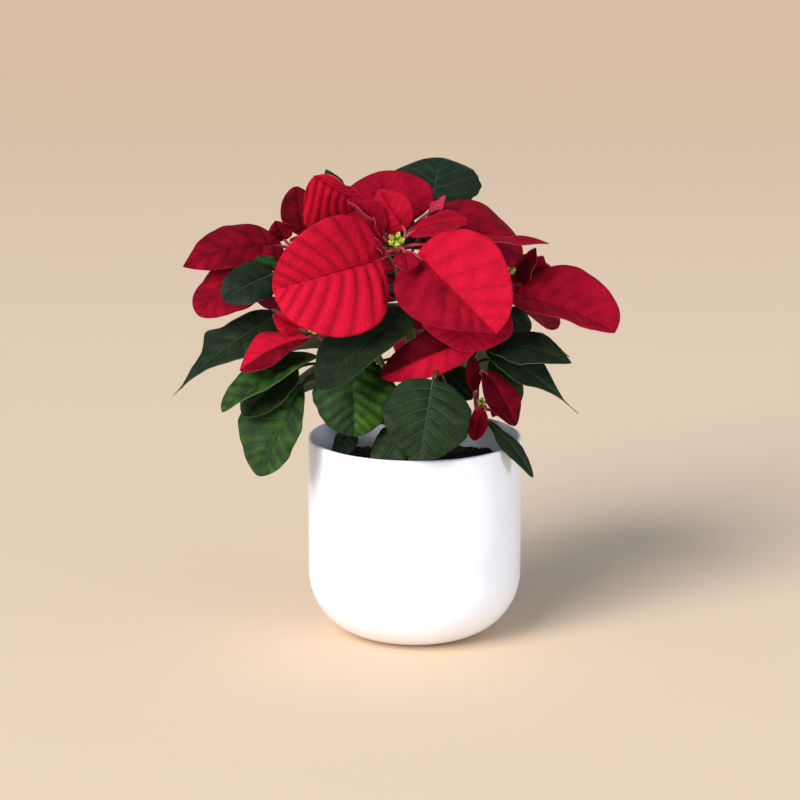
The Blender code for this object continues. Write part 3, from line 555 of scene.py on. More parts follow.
class Finish(Enum):
    """Each finish of the plant and its pot."""

    BRACT = BractTissue()
    LEAF = LeafTissue()
    LEAF_STALK = Stalk("leaf_stalk_green_flushed_red", "33441F", "421719")
    BRACT_STALK = Stalk("bract_stalk_red", "8E2A34", "B3404A")
    STEM = Stalk("young_stem_green", "55702F", "6A3A2C")
    BARK = Bark()
    SOIL = PottingSoil()
    GLAZE = WhiteGlaze()
    CUP = FlowerSkin("flower_cup_waxy_green", "7E9A26", "B9C24A")
    GLAND = FlowerSkin("nectar_gland_waxy_yellow", "D9B324", "EED75C", roughness=0.22)
    STAMEN = FlowerSkin("stamen_red", "B0202C", "D8A030", roughness=0.5)

    @cache
    def material(self) -> Material:
        """The finish's one material, built the first time it is asked for."""
        return self.value.make()


@dataclass(frozen=True)
class Outline:
    """How a blade's half width runs from base (0) to tip (1)."""

    widest: float
    base_power: float
    tip_power: float
    lobe_depth: float = 0.0
    lobe_place: float = 0.6

    def half_width(self, along: Array) -> Array:
        """Share of the largest half width at each place along the midrib.

        Args:
            along: Places from 0 to 1.

        Returns:
            A share for each place.
        """
        bend = math.log(0.5) / math.log(self.widest)
        arch = np.clip(np.sin(math.pi * along**bend), 0.0, 1.0)
        share = arch ** (self.base_power + (self.tip_power - self.base_power) * along)
        lobe = np.exp(-(((along - self.lobe_place) / LOBE_SPREAD) ** 2))
        return share * (1 + self.lobe_depth * lobe)


ROUND = Outline(widest=0.46, base_power=0.42, tip_power=0.50)
FULL = Outline(widest=0.48, base_power=0.46, tip_power=0.36)
EGG = Outline(widest=0.44, base_power=0.55, tip_power=0.62)
LATE = Outline(widest=0.63, base_power=0.42, tip_power=0.54)
EARLY = Outline(widest=0.31, base_power=0.79, tip_power=0.40)
OVATE = Outline(widest=0.42, base_power=0.50, tip_power=0.85)
OVAL = Outline(widest=0.50, base_power=0.60, tip_power=0.60)
LOBED = Outline(widest=0.36, base_power=0.60, tip_power=1.30, lobe_depth=0.45, lobe_place=0.6)
LANCE = Outline(widest=0.40, base_power=0.75, tip_power=1.20)
WAVY = Outline(widest=0.56, base_power=0.80, tip_power=0.62, lobe_depth=0.10, lobe_place=0.45)
EARED = Outline(widest=0.34, base_power=0.60, tip_power=2.00, lobe_depth=0.80, lobe_place=0.49)
BELLIED = Outline(widest=0.22, base_power=0.60, tip_power=2.60)
TAILED = Outline(widest=0.30, base_power=0.60, tip_power=3.20)


@dataclass(frozen=True)
class Blade:
    """One bract or leaf. Points are in millimetres, turns in degrees.

    The mate is the outline of the far side, where it isn't like the other. The joint is a leaf's
    share of the way up its stem.
    """

    base: Point
    tip: Point
    face: Point
    width: float
    outline: Outline = ROUND
    mate: Outline | None = None
    arch: float = 30.0
    fold: float = 12.0
    cup: float = -25.0
    wave: float = 1.5
    waves: float = 1.5
    sweep: float = 0.0
    skew: float = 0.0
    joint: float = 0.0
    cells: tuple[int, int] = LARGE

    def axes(self) -> tuple[Array, Array, Array]:
        """Unit directions along the chord, across the blade and out of its face."""
        along = np.subtract(self.tip, self.base)
        along = along / np.linalg.norm(along)
        face = np.array(self.face) - along * np.dot(self.face, along)
        face = face / np.linalg.norm(face)
        return along, np.cross(face, along), face

    def midrib(self) -> tuple[Array, Array, Array]:
        """Points, directions and sides of the bent midrib, on a chord one unit long."""
        part = np.linspace(0.0, 1.0, RIB_STEPS + 1)
        pitch = -math.radians(self.arch) * part
        yaw = math.radians(self.sweep) * part
        level = np.cos(pitch)
        heading = np.stack([level * np.cos(yaw), level * np.sin(yaw), np.sin(pitch)], 1)
        side = np.stack([-np.sin(yaw), np.cos(yaw), np.zeros_like(yaw)], 1)
        steps = (heading[1:] + heading[:-1]) / 2
        points = np.vstack([np.zeros(3), np.cumsum(steps, axis=0)])
        length = np.linalg.norm(points[-1])
        turn = np.array(Vector(points[-1]).rotation_difference(Vector((1, 0, 0))).to_matrix())
        return points @ turn.T / length, heading @ turn.T, side @ turn.T

    def share(self, along: Array, across: Array) -> Array:
        """Share of the largest half width at each place, with the far side's own outline."""
        mate = (self.mate or self.outline).half_width(along)
        return np.where(across > 0, mate, self.outline.half_width(along))

    def surface(self, along: Array, across: Array) -> Array:
        """The blade's middle surface.

        Args:
            along: Shares along the midrib, from 0 to 1.
            across: Shares across the blade, from -1 to 1.

        Returns:
            A point in millimetres for each pair.
        """
        place = np.asarray(along) * RIB_STEPS
        low = np.clip(np.floor(place + MERGE).astype(int), 0, RIB_STEPS - 1)
        part = (place - low)[:, None]
        chord = np.linalg.norm(np.subtract(self.tip, self.base))
        rows = (row[low] * (1 - part) + row[low + 1] * part for row in self.midrib())
        centre, heading, side = rows
        rise = np.cross(heading, side)
        share = self.share(along, across)
        half = self.width / 2 * share * (1 + self.skew * np.sign(across) * np.sin(math.pi * along))
        reach = np.abs(across)
        fold = math.radians(self.fold)
        cup = math.radians(self.cup)
        out = half * (np.sin(fold + cup * reach) - math.sin(fold)) / cup
        lift = half * (math.cos(fold) - np.cos(fold + cup * reach)) / cup
        shift = self.base[0] * WAVE_DRIFT + WAVE_OFFSET * (across > 0)
        turns = 2 * math.pi * (self.waves * along + shift)
        lift = lift + self.wave * share * reach**2 * np.sin(turns)
        sideways = (out * np.sign(across))[:, None]
        local = centre * chord + side * sideways + rise * lift[:, None]
        return np.array(self.base) + local @ np.array(self.axes())


@dataclass(frozen=True)
class Look:
    """How one blade's skin looks: tone from 0 (dark) to 1 (bright), veins and their relief. The tone is
    partly the blade's own colour and partly painted light and shade.

    The quilt is how far the tissue stands up between side veins, in millimetres. The vein ink
    and painted shade is how strongly side veins are coloured; on bracts it is painted shade that
    darkens the valleys at them. It runs from 0 to 1. The lean and fan turn the side veins towards
    the tip, at the base and more towards the tip. The far values are those of the far side, where
    it isn't like the other.
    """

    tone: float = 0.55
    quilt: float = 0.5
    veins: int = 9
    groove: float = 0.6
    vein_ink_and_painted_shade: float = 0.10
    lean: float = 0.15
    fan: float = 1.15
    # A far tone unlike the near one is painted light and shade on the two sides of a folded blade
    far_tone_and_painted_light: float | None = None
    far_quilt: float | None = None
    far_vein_ink_and_painted_shade: float | None = None

    def sides(self, across: Array, near: float, far: float | None) -> Array:
        """A value at each place across, which changes softly at the midrib to the far side's."""
        share = np.clip(0.5 + across / MIDRIB_BLEND, 0, 1)
        return near + ((near if far is None else far) - near) * share


@dataclass(frozen=True)
class Wave:
    """A sine wave: its height, how fast it runs and how far a seed shifts it."""

    height: float
    rate: float
    shift: float

    def at(self, place: Array, seed: int, turn: Array | float = 0.0) -> Array:
        """The wave at each place, turned on by an angle where one is given."""
        return self.height * np.sin(self.rate * place + self.shift * seed + turn)


@dataclass(frozen=True)
class BladeMaker:
    """Turns a blade's form into a thin closed mesh with veins in relief.

    Sizes are in millimetres. The waves move the side veins, raise the tissue between them and
    bulge the margin. Those of the raised tissue run over millimetres, the others over shares.
    """

    thickness: float = 0.6
    rows: int = 72
    columns: int = 32
    end_crowding: float = 0.85
    end_rise: float = 2.2
    ridge_power: float = 0.8
    stagger: float = 0.4
    vein_gap: float = 0.9
    groove_width: float = 1.6
    quilt_start: float = 3.0
    edge_start: float = 0.55
    edge_fade: float = 0.30
    margin: float = 0.006
    margin_power: int = 3
    drift_along: Wave = Wave(0.12, 5.1, 1.0)
    drift_out: Wave = Wave(0.08, 9.7, 2.3)
    ripple_along: Wave = Wave(0.35, 0.31, 1.7)
    ripple_across: Wave = Wave(1.0, 0.37, 0.0)
    broad_bulge: Wave = Wave(1.0, 17, 2.1)
    fine_bulge: Wave = Wave(0.6, 41, 1.3)
    bulge_turns: Range = (3, 1)

    def heights(
        self, blade: Blade, look: Look, along: Array, across: Array, seed: int
    ) -> dict[str, Array]:
        """Relief and the values that the finish reads.

        Args:
            blade: The blade's form.
            look: How its skin looks.
            along: Shares along the midrib.
            across: Shares across.
            seed: Shifts the unevenness from blade to blade.

        Returns:
            Arrays: lift (mm out of the face), phase, pitch, span, reach, length, tone with its painted
                light and shade, and vein ink with painted valley shade.
        """
        length = float(np.linalg.norm(np.subtract(blade.tip, blade.base)))
        reach = np.abs(across)
        span = reach * blade.share(along, across) * blade.width / 2
        out = span / length
        drift = self.drift_along.at(along, seed) + self.drift_out.at(out, seed)
        fan = 1 + look.fan * out
        phase = look.veins * (along - look.lean * out) / fan + self.stagger * (across > 0) + drift
        pillow = np.abs(np.sin(math.pi * phase)) ** self.ridge_power - 0.5
        inner = np.clip(span / self.quilt_start, 0, 1)
        past = np.clip((reach - self.edge_start) / (1 - self.edge_start), 0, 1)
        outer = 1 - (1 - self.edge_fade) * past**2
        ends = np.clip(np.sin(math.pi * along) * self.end_rise, 0, 1)
        lift = look.sides(across, look.quilt, look.far_quilt) * pillow * inner * outer * ends
        lift -= look.groove * np.exp(-((span / self.groove_width) ** 2)) * ends
        ripple = self.ripple_along.at(along * length, seed)
        lift += ripple * self.ripple_across.at(across * blade.width / 2, seed) * reach * ends
        return {
            "lift": lift,
            "phase": phase,
            "pitch": length / look.veins * self.vein_gap * fan,
            "span": span,
            "reach": reach,
            "length": along,
            # Painted light and shade: the tone of each side of the blade
            "tone": look.sides(across, look.tone, look.far_tone_and_painted_light),
            "vein_ink_and_painted_shade": look.sides(across, look.vein_ink_and_painted_shade, look.far_vein_ink_and_painted_shade),
        }

    def uneven(self, along: Array, across: Array, seed: int) -> Array:
        """Places across, moved so that the blade's margin isn't quite even.

        Args:
            along: Shares along the midrib.
            across: Shares across.
            seed: Shifts the unevenness from blade to blade.

        Returns:
            Shares across, past 1 where the margin bulges.
        """
        side = across > 0
        bulge = self.broad_bulge.at(along, seed, self.bulge_turns[0] * side)
        bulge = bulge + self.fine_bulge.at(along, seed, self.bulge_turns[1] * side)
        return across * (1 + self.margin * np.abs(across) ** self.margin_power * bulge)

    def normals(self, points: Array, face: Array) -> Array:
        """Unit normals of a grid of points.

        Args:
            points: Rows by columns by 3.
            face: The direction used where the grid closes to a point.

        Returns:
            An array like points.
        """
        cross = np.cross(np.gradient(points, axis=0), np.gradient(points, axis=1))
        size = np.linalg.norm(cross, axis=2, keepdims=True)
        return np.where(size > TINY, cross / np.maximum(size, TINY), face)

    def make(
        self, blade: Blade, look: Look, seed: int, name: str, finish: Finish
    ) -> Object:
        """Builds the blade.

        Args:
            blade: The blade's form.
            look: How its skin looks.
            seed: Shifts the unevenness.
            name: The object's name.
            finish: Its finish.

        Returns:
            A thin closed mesh object with its attributes.
        """
        bm = bmesh.new()
        bmesh.ops.create_grid(bm, x_segments=self.rows, y_segments=self.columns, size=1.0)
        order = np.array([(v.co.x, v.co.y) for v in bm.verts])
        across = order[:, 1]
        step = np.rint((order[:, 0] + 1) / 2 * self.rows).astype(int)
        column = np.rint((across + 1) / 2 * self.columns).astype(int)
        even = step / self.rows
        crowded = (1 - np.cos(math.pi * even)) / 2
        along = (1 - self.end_crowding) * even + self.end_crowding * crowded
        values = self.heights(blade, look, along, across, seed)
        points = blade.surface(along, self.uneven(along, across, seed))
        grid = np.zeros((self.rows + 1, self.columns + 1, 3))
        grid[step, column] = points
        face = blade.axes()[2]
        out = self.normals(grid, face)[step, column]
        out *= np.sign(out @ face)[:, None]
        points = points + out * values.pop("lift")[:, None]
        layers = {key: bm.verts.layers.float.new(key) for key in (*values, "under")}
        place = bm.verts.layers.int.new("place")
        for index, corner in enumerate(bm.verts):
            corner[place] = index
            for key, array in values.items():
                corner[layers[key]] = array[index]
        raised = bmesh.ops.extrude_face_region(bm, geom=bm.faces[:], use_keep_orig=True)["geom"]
        for item in raised:
            if isinstance(item, BMVert):
                item[layers["under"]] = 1.0
        for corner in bm.verts:
            side = 0.5 - corner[layers["under"]]
            corner.co = Vector(points[corner[place]] + out[corner[place]] * side * self.thickness) * MM
        bm.verts.layers.int.remove(place)
        bmesh.ops.remove_doubles(bm, verts=bm.verts, dist=MERGE)
        return object_from(bm, name, finish)


def sweep(bm: BMesh, points: list[Vector], radii: list[float], sides: int) -> None:
    """Adds a closed tube through points, extruded ring by ring.

    Args:
        bm: The mesh that gets the tube.
        points: Places in metres.
        radii: The tube's radius at each place.
        sides: Corners of each ring.
    """
    headings = []
    for index in range(len(points)):
        ahead = points[min(index + 1, len(points) - 1)] - points[max(index - 1, 0)]
        headings.append(ahead.normalized())
    turn = headings[0].to_track_quat("Z", "Y")
    place = Matrix.LocRotScale(points[0], turn, Vector((radii[0],) * 3))
    ring = bmesh.ops.create_circle(bm, cap_ends=True, segments=sides, radius=1.0, matrix=place)
    corners = set(ring["verts"])
    edges = [edge for edge in bm.edges if set(edge.verts) <= corners]
    for index in range(1, len(points)):
        turn = headings[index - 1].rotation_difference(headings[index]) @ turn
        after = Matrix.LocRotScale(points[index], turn, Vector((radii[index],) * 3))
        made = bmesh.ops.extrude_edge_only(bm, edges=edges)["geom"]
        moved = [item for item in made if isinstance(item, BMVert)]
        edges = [item for item in made if isinstance(item, BMEdge)]
        bmesh.ops.transform(bm, matrix=after @ place.inverted(), verts=moved)
        place = after
    bmesh.ops.contextual_create(bm, geom=edges)


def object_from(bm: BMesh, name: str, finish: Finish | None) -> Object:
    """Makes a smooth-shaded object.

    Args:
        bm: Its mesh, which is freed.
        name: The object's name.
        finish: What it is finished with, if it has one finish.

    Returns:
        The linked object.
    """
    bmesh.ops.recalc_face_normals(bm, faces=bm.faces)
    mesh = bpy.data.meshes.new(name)
    bm.to_mesh(mesh)
    bm.free()
    mesh.shade_smooth()
    made = bpy.data.objects.new(name, mesh)
    bpy.context.scene.collection.objects.link(made)
    if finish:
        mesh.materials.append(finish.material())
    return made


def joined(name: str, parts: list[Object]) -> Object:
    """Joins objects in one.

    Args:
        name: The joined object's name.
        parts: The objects, which are used up.

    Returns:
        The joined object.
    """
    first = parts[0]
    with bpy.context.temp_override(
        active_object=first, object=first, selected_objects=parts, selected_editable_objects=parts
    ):
        bpy.ops.object.join()
    first.name = name
    first.data.name = name
    return first


def placed(piece: Object, node: str) -> None:
    """Sets a finished piece on its body in the place of its solid.

    Args:
        piece: The finished piece.
        node: The solid that it stands for.
    """
    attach(piece, BODY)
    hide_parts(node)
    log.info("%s: %d faces", piece.name, len(piece.data.polygons))


def bezier(start: Vector, start_pull: Vector, end_pull: Vector, end: Vector, count: int) -> list[Vector]:
    """Points of a cubic curve.

    Args:
        start: Where it starts.
        start_pull: The second control point.
        end_pull: The third control point.
        end: Where it ends.
        count: How many points.

    Returns:
        The points in order.
    """
    places = []
    for step in range(count):
        t = step / (count - 1)
        places.append(
            start * (1 - t) ** 3
            + start_pull * 3 * t * (1 - t) ** 2
            + end_pull * 3 * t**2 * (1 - t)
            + end * t**3
        )
    return places


def unit(values: Point) -> Vector:
    """The direction of three numbers, one unit long."""
    return Vector(values).normalized()


@dataclass(frozen=True)
class Shoot:
    """A stem from the trunk to its bloom, with listed blades and counts of those placed by rule.

    The hub is where the stem ends and the bloom starts. Hub, lengths, floor and ceiling are in
    millimetres. Away is the least share of +Y that a ruled blade's direction may have.
    """

    name: str
    hub: Point
    axis: Point
    stub_height: float
    stub_heading: Point
    bracts: tuple[Blade, ...] = ()
    leaves: tuple[Blade, ...] = ()
    more_bracts: int = 0
    more_leaves: int = 0
    bract_length: float = 62.0
    leaf_length: float = 74.0
    away: float = -1.0
    floor: float = 150.0
    ceiling: float = 300.0
    flower_size: float = 1.0
    seed: int = 1

    def stub_ends(self) -> tuple[Vector, Vector, Vector]:
        """Start of the shoot's stub inside the trunk, its far end, and its heading."""
        heading = unit(self.stub_heading)
        start = Vector((0, 0, self.stub_height))
        return start, start + heading * STUB_LENGTH, heading

    def stem_route(self, count: int = 7) -> list[Vector]:
        """The stem from stub to hub, with a straight run at both ends.

        Args:
            count: Points on its curve.

        Returns:
            Points in metres.
        """
        _, stub_end, heading = self.stub_ends()
        up = unit(self.axis)
        start = stub_end + heading * GAP
        end = Vector(self.hub) * MM
        low, high = start + heading * STEM_END, end - up * STEM_END
        pull = (high - low).length * STEM_PULL
        return [start] + bezier(low, low + heading * pull, high - up * pull, high, count) + [end]

    def stem_place(self, share: float) -> Vector:
        """The point on the stem at a share of its way up, from 0 to 1."""
        return self.stem_route(STEM_STEPS + 1)[1 + round(share * STEM_STEPS)]

    def hub_ends(self) -> tuple[Vector, Vector]:
        """Both ends of the hub, which the bracts stand on."""
        start = Vector(self.hub) * MM
        return start, start + unit(self.axis) * HUB_LENGTH

    def bract_root(self, order: int) -> Vector:
        """Where a bract's stalk leaves the hub: the first ones lowest."""
        share = LOWEST_ROOT + ROOT_SPREAD * min(order, INNERMOST) / INNERMOST
        return Vector(self.hub) * MM + unit(self.axis) * (GAP + HUB_LENGTH * share)


CENTRE = Shoot(
    name="centre", hub=(-12, -16, 272), axis=(-0.05, -0.62, 0.78), stub_height=TRUNK_TOP_Z,
    stub_heading=(-0.05, -0.05, 1.0),
    bracts=(
        Blade((-24, -34, 274), (-95, -72, 260), (0.26, -0.81, 0.21), 84, EGG, FULL, arch=45, fold=23,
              cup=-14, skew=0.10, cells=BROAD),
        Blade((1, -36, 277), (54, -77, 231), (0.01, -0.98, 0.23), 77, LANCE, FULL, arch=45, fold=21,
              cup=-10, skew=0.12, cells=BROAD),
        Blade((-7, -47, 281), (-5, -62, 271), (0.10, -0.60, 0.70), 18, OVAL, arch=20, cells=SMALL),
        Blade((37, -17, 249), (33, -54, 214), (0.15, -0.84, 0.50), 66, OVAL, arch=18, fold=6, cup=-14),
        Blade((-38, 8, 307), (-69, -6, 327), (-0.95, -0.69, 0.28), 58, LATE, EARLY, arch=12, fold=24,
              cup=-12, skew=0.38),
        Blade((-7, -12, 291), (-25, -6, 318), (-0.45, -0.80, 0.20), 30, OVATE, arch=20, fold=16),
        Blade((-22, -14, 290), (-47, -12, 311), (0.30, -0.60, 0.70), 24, OVATE, arch=14, fold=48,
              cup=10, cells=SMALL),
        Blade((-23, -26, 281), (-47, -31, 301), (0.30, -0.60, 0.70), 20, OVATE, arch=14, fold=48,
              cup=10, cells=SMALL),
        Blade((-3, -16, 289), (36, -22, 298), (0.10, -0.35, 0.93), 32, arch=40, fold=14, cup=-30),
        Blade((-20, -34, 279), (-26, -42, 283), (-0.30, -0.70, 0.60), 9, OVATE, arch=20, cells=SMALL),
        Blade((-22, -30, 289), (-28, -36, 304), (0.75, -0.60, 0.20), 9, LANCE, arch=20, cells=SMALL),
        Blade((-16, 12, 288), (-25, 26, 325), (0.0, -0.85, 0.50), 68, arch=34, fold=8, cup=-26),
        Blade((9, 2, 293), (75, 12, 271), (0.20, -0.50, 0.85), 70, arch=36, fold=8, cup=-26),
        Blade((10, 6, 300), (21, 10, 311), (0.60, 0.50, -0.50), 11, OVATE, arch=16, cells=SMALL),
        Blade((30, -16, 281), (92, -12, 281), (0.05, -0.16, 0.98), 20, OVATE, arch=22, fold=8, cup=-10),
    ),
    leaves=(
        Blade((11, 44, 297), (19, 86, 326), (-0.02, -0.62, 0.78), 64, arch=34, fold=8, cup=-24,
              joint=0.80),
        Blade((-1, -23, 238), (-64, -92, 196), (-0.10, -0.55, 0.83), 45, OVAL, arch=24, fold=10,
              cup=-22, skew=-0.26, joint=0.62),
        Blade((-52, 26, 302), (-62, 24, 327), (-0.2, -0.7, 0.7), 16, OVATE, arch=20, cells=SMALL,
              joint=0.90),
    ),
    more_leaves=2, away=0.3, seed=11,
)

LEFT = Shoot(
    name="left", hub=(-74, 12, 262), axis=(-0.35, -0.30, 0.88), stub_height=0.148,
    stub_heading=(-0.75, 0.05, 0.66),
    bracts=(
        Blade((-92, 0, 277), (-159, -20, 266), (-0.15, -0.65, 0.75), 43, OVATE, arch=54, fold=10,
              cup=-28, skew=-0.12),
        Blade((-108, -7, 272), (-149, -23, 233), (-0.50, -0.80, 0.45), 46, ROUND, arch=34, fold=14,
              cup=-20, skew=0.32),
        Blade((-78, 34, 278), (-84, 36, 313), (-0.35, -0.80, 0.30), 28, OVAL, arch=20, fold=14,
              cup=-26),
        Blade((-91, 14, 279), (-97, 10, 293), (-0.20, -0.80, 0.40), 18, OVATE, arch=14, fold=14,
              cells=SMALL),
    ),
    leaves=(
        Blade((-96, -40, 265), (-129, -60, 251), (-0.25, -0.85, 0.45), 32, ROUND, arch=34, fold=14,
              cup=-24, joint=0.85),
        Blade((-95, -18, 232), (-165, -50, 182), (-0.35, -0.65, 0.68), 38, EARED, BELLIED, arch=30,
              fold=10, cup=-20, skew=0.20, cells=LONG, joint=0.60),
        Blade((-94, -33, 271), (-110, -36, 274), (-0.20, -0.80, 0.50), 9, OVATE, arch=10, cells=SMALL,
              joint=0.85),
    ),
    more_bracts=3, more_leaves=2, away=-0.05, floor=200, seed=4,
)

RIGHT = Shoot(
    name="right", hub=(58, 26, 240), axis=(0.42, 0.05, 0.90), stub_height=0.143,
    stub_heading=(0.75, 0.15, 0.62),
    bracts=(
        Blade((68, 7, 241), (138, -15, 219), (0.02, -0.48, 1.0), 60, OVATE, FULL, arch=26, fold=26,
              cup=-12, skew=0.18),
        Blade((74, 10, 249), (84, 6, 275), (-0.70, -0.60, 0.30), 16, OVATE, arch=14, cells=SMALL),
        Blade((80, 24, 248), (90, 24, 266), (-0.30, -0.90, 0.30), 18, OVATE, arch=14, cells=SMALL),
    ),
    leaves=(
        Blade((52, -6, 207), (113, -30, 165), (0.20, -0.60, 0.76), 30, TAILED, arch=26, fold=14,
              cup=-14, cells=LONG, joint=0.50),
        Blade((53, 4, 195), (73, -6, 167), (0.45, -0.85, 0.25), 24, OVAL, arch=24, fold=10, cells=SMALL,
              joint=0.35),
        Blade((62, 15, 228), (80, 11, 214), (0.20, -0.60, 0.75), 26, ROUND, arch=24, fold=10,
              cells=SMALL, joint=0.80),
    ),
    more_bracts=4, more_leaves=2, away=0.55, floor=200, ceiling=268, seed=7,
)

LOW_LEFT = Shoot(
    name="low_left", hub=(-62, -30, 218), axis=(-0.40, -0.72, 0.56), stub_height=0.137,
    stub_heading=(-0.72, -0.40, 0.60),
    bracts=(
        Blade((-73, -46, 222), (-118, -68, 204), (-0.50, -0.62, 0.72), 32, OVATE, LATE, arch=36,
              fold=14, cup=-28, skew=-0.20),
        Blade((-79, -45, 228), (-96, -58, 241), (-0.50, -0.70, 0.40), 16, OVATE, arch=20, fold=20,
              cells=SMALL),
        Blade((-84, -36, 242), (-110, -42, 249), (0.30, 0.60, -0.60), 12, OVATE, arch=20, fold=10,
              cells=SMALL),
        Blade((-58, -31, 234), (-46, -28, 247), (0.10, -0.80, 0.56), 15, OVATE, arch=20, fold=16,
              cells=SMALL),
    ),
    leaves=(
        Blade((-67, -42, 208), (-130, -72, 176), (-0.40, -0.50, 0.76), 34, OVAL, arch=30, fold=30,
              cup=-16, joint=0.80),
        Blade((-81, -34, 198), (-117, -54, 169), (-0.30, -0.80, 0.50), 32, OVAL, arch=30, fold=16,
              cup=-10, joint=0.55),
        Blade((-77, -40, 189), (-107, -62, 129), (-0.30, -0.90, 0.25), 43, WAVY, skew=-0.30, arch=22,
              fold=8, cup=-16, cells=LONG, joint=0.35),
        Blade((-42, -42, 206), (-41, -62, 157), (0.0, -0.90, 0.35), 56, ROUND, arch=30, fold=10,
              cup=-26, joint=0.50),
        Blade((-45, -16, 150), (-53, -28, 130), (-0.30, -0.80, 0.50), 18, OVATE, arch=20, fold=10,
              cells=SMALL, joint=0.10),
    ),
    flower_size=0.7, seed=5,
)

LOW_RIGHT = Shoot(
    name="low_right", hub=(42, -22, 162), axis=(0.25, -0.60, 0.70), stub_height=0.130,
    stub_heading=(0.72, -0.40, 0.55),
    bracts=(
        Blade((41, -30, 181), (39, -28, 205), (0.45, -0.88, 0.10), 12, OVAL, arch=10, cells=SMALL),
        Blade((48, -30, 195), (69, -44, 160), (0.50, -0.76, 0.40), 26, OVAL, arch=34, fold=10, cup=-24,
              cells=SMALL),
        Blade((48, -45, 171), (41, -50, 151), (-0.20, -0.95, 0.10), 14, OVAL, arch=20, sweep=30,
              cells=SMALL),
        Blade((53, -37, 169), (60, -43, 166), (0.30, -0.60, 0.70), 8, LANCE, arch=20, cells=SMALL),
    ),
    leaves=(
        Blade((12, -66, 197), (3, -88, 147), (0.05, -0.95, 0.30), 60, arch=26, fold=8, cup=-20,
              joint=0.55),
        Blade((50, -31, 160), (81, -50, 125), (0.50, -0.66, 0.56), 14, OVAL, arch=40, fold=12, cup=-20,
              skew=-0.30, joint=0.45),
        Blade((-6, -46, 160), (-26, -56, 129), (-0.30, -0.85, 0.40), 28, ROUND, arch=24, fold=10,
              cells=SMALL, joint=0.20),
    ),
    flower_size=0.6, seed=6,
)

FRONT_RIGHT = Shoot(
    name="front_right", hub=(40, -2, 212), axis=(0.12, -0.60, 0.79), stub_height=0.150,
    stub_heading=(0.55, -0.50, 0.67),
    bracts=(
        Blade((47, -31, 221), (-23, -57, 197), (0.05, -0.86, 0.50), 31, OVAL, arch=22, fold=14,
              cup=-26),
    ),
    leaves=(
        Blade((50, -20, 213), (107, -40, 203), (0.10, -0.45, 0.88), 36, OVATE, arch=36, fold=8, cup=-20,
              joint=0.85),
        Blade((20, -10, 190), (40, -16, 172), (0.20, -0.85, 0.40), 26, OVATE, arch=24, fold=10,
              cells=SMALL, joint=0.55),
    ),
    more_bracts=2, bract_length=44, away=0.2, seed=8,
)

BACK_LEFT = Shoot(
    name="back_left", hub=(-50, 62, 252), axis=(-0.35, 0.55, 0.76), stub_height=0.152,
    stub_heading=(-0.50, 0.60, 0.62), more_bracts=7, more_leaves=4, floor=185, ceiling=300, seed=21,
)

BACK_RIGHT = Shoot(
    name="back_right", hub=(42, 62, 248), axis=(0.35, 0.55, 0.76), stub_height=0.155,
    stub_heading=(0.50, 0.60, 0.62), more_bracts=7, more_leaves=4, floor=185, ceiling=276,
    leaf_length=54, seed=32,
)

BACK = Shoot(
    name="back", hub=(-2, 96, 212), axis=(0.0, 0.80, 0.60), stub_height=0.146,
    stub_heading=(0.0, 0.82, 0.57), more_bracts=6, more_leaves=4, bract_length=54, seed=43,
)


SHOOTS = (CENTRE, LEFT, RIGHT, LOW_LEFT, LOW_RIGHT, FRONT_RIGHT, BACK_LEFT, BACK_RIGHT, BACK)


def stalk_route(root: Vector, blade: Blade, count: int = 3) -> list[Vector]:
    """A stalk from its root to just inside its blade.

    Args:
        root: Where it leaves the stem or hub, in metres.
        blade: The blade that it carries.
        count: How many points.

    Returns:
        Points in metres.
    """
    rib = blade.surface(np.array([0.0, ENTRY_STEP]), np.zeros(2)) * MM
    first, second = (Vector(point) for point in rib)
    entry = (second - first).normalized()
    reach = (first - root).length
    leave = ((first - root).normalized() + STALK_RISE * UP).normalized()
    start_pull = root + leave * reach * STALK_START_PULL
    end_pull = first - entry * reach * STALK_END_PULL
    return bezier(root, start_pull, end_pull, first + entry * STALK_SINK, count)


def sheet(blade: Blade, lift: float) -> Shell:
    """The blade's coarse middle surface, for finding what it would touch.

    Args:
        blade: The blade.
        lift: How far to move it out of its face, in millimetres.

    Returns:
        Corners in millimetres and faces.
    """
    rows, columns = blade.cells[0] + 1, blade.cells[1] + 1
    along = np.repeat(np.linspace(0, 1, rows), columns)
    across = np.tile(np.linspace(-1, 1, columns), rows)
    corners = blade.surface(along, across) + blade.axes()[2] * lift
    faces = []
    for row in range(rows - 1):
        for column in range(columns - 1):
            first = row * columns + column
            faces.append((first, first + 1, first + columns + 1))
            faces.append((first, first + columns + 1, first + columns))
    return [Vector(c) for c in corners], faces


def sleeve(points: list[Vector], radius: float) -> Shell:
    """A three-sided sleeve round a stalk or stem, for finding what it would touch.

    Args:
        points: Places in metres.
        radius: The sleeve's radius in metres.

    Returns:
        Corners in millimetres and faces.
    """
    corners, faces = [], []
    for index, point in enumerate(points):
        heading = points[min(index + 1, len(points) - 1)] - points[max(index - 1, 0)]
        side = heading.orthogonal().normalized()
        other = heading.normalized().cross(side)
        for turn in range(3):
            angle = 2 * math.pi * turn / 3
            corners.append((point + (side * math.cos(angle) + other * math.sin(angle)) * radius) / MM)
    for index in range(len(points) - 1):
        for turn in range(3):
            first = index * 3 + turn
            after = index * 3 + (turn + 1) % 3
            faces.append((first, after, after + 3))
            faces.append((first, after + 3, first + 3))
    last = len(corners) - 3
    return corners, faces + [(0, 1, 2), (last, last + 1, last + 2)]


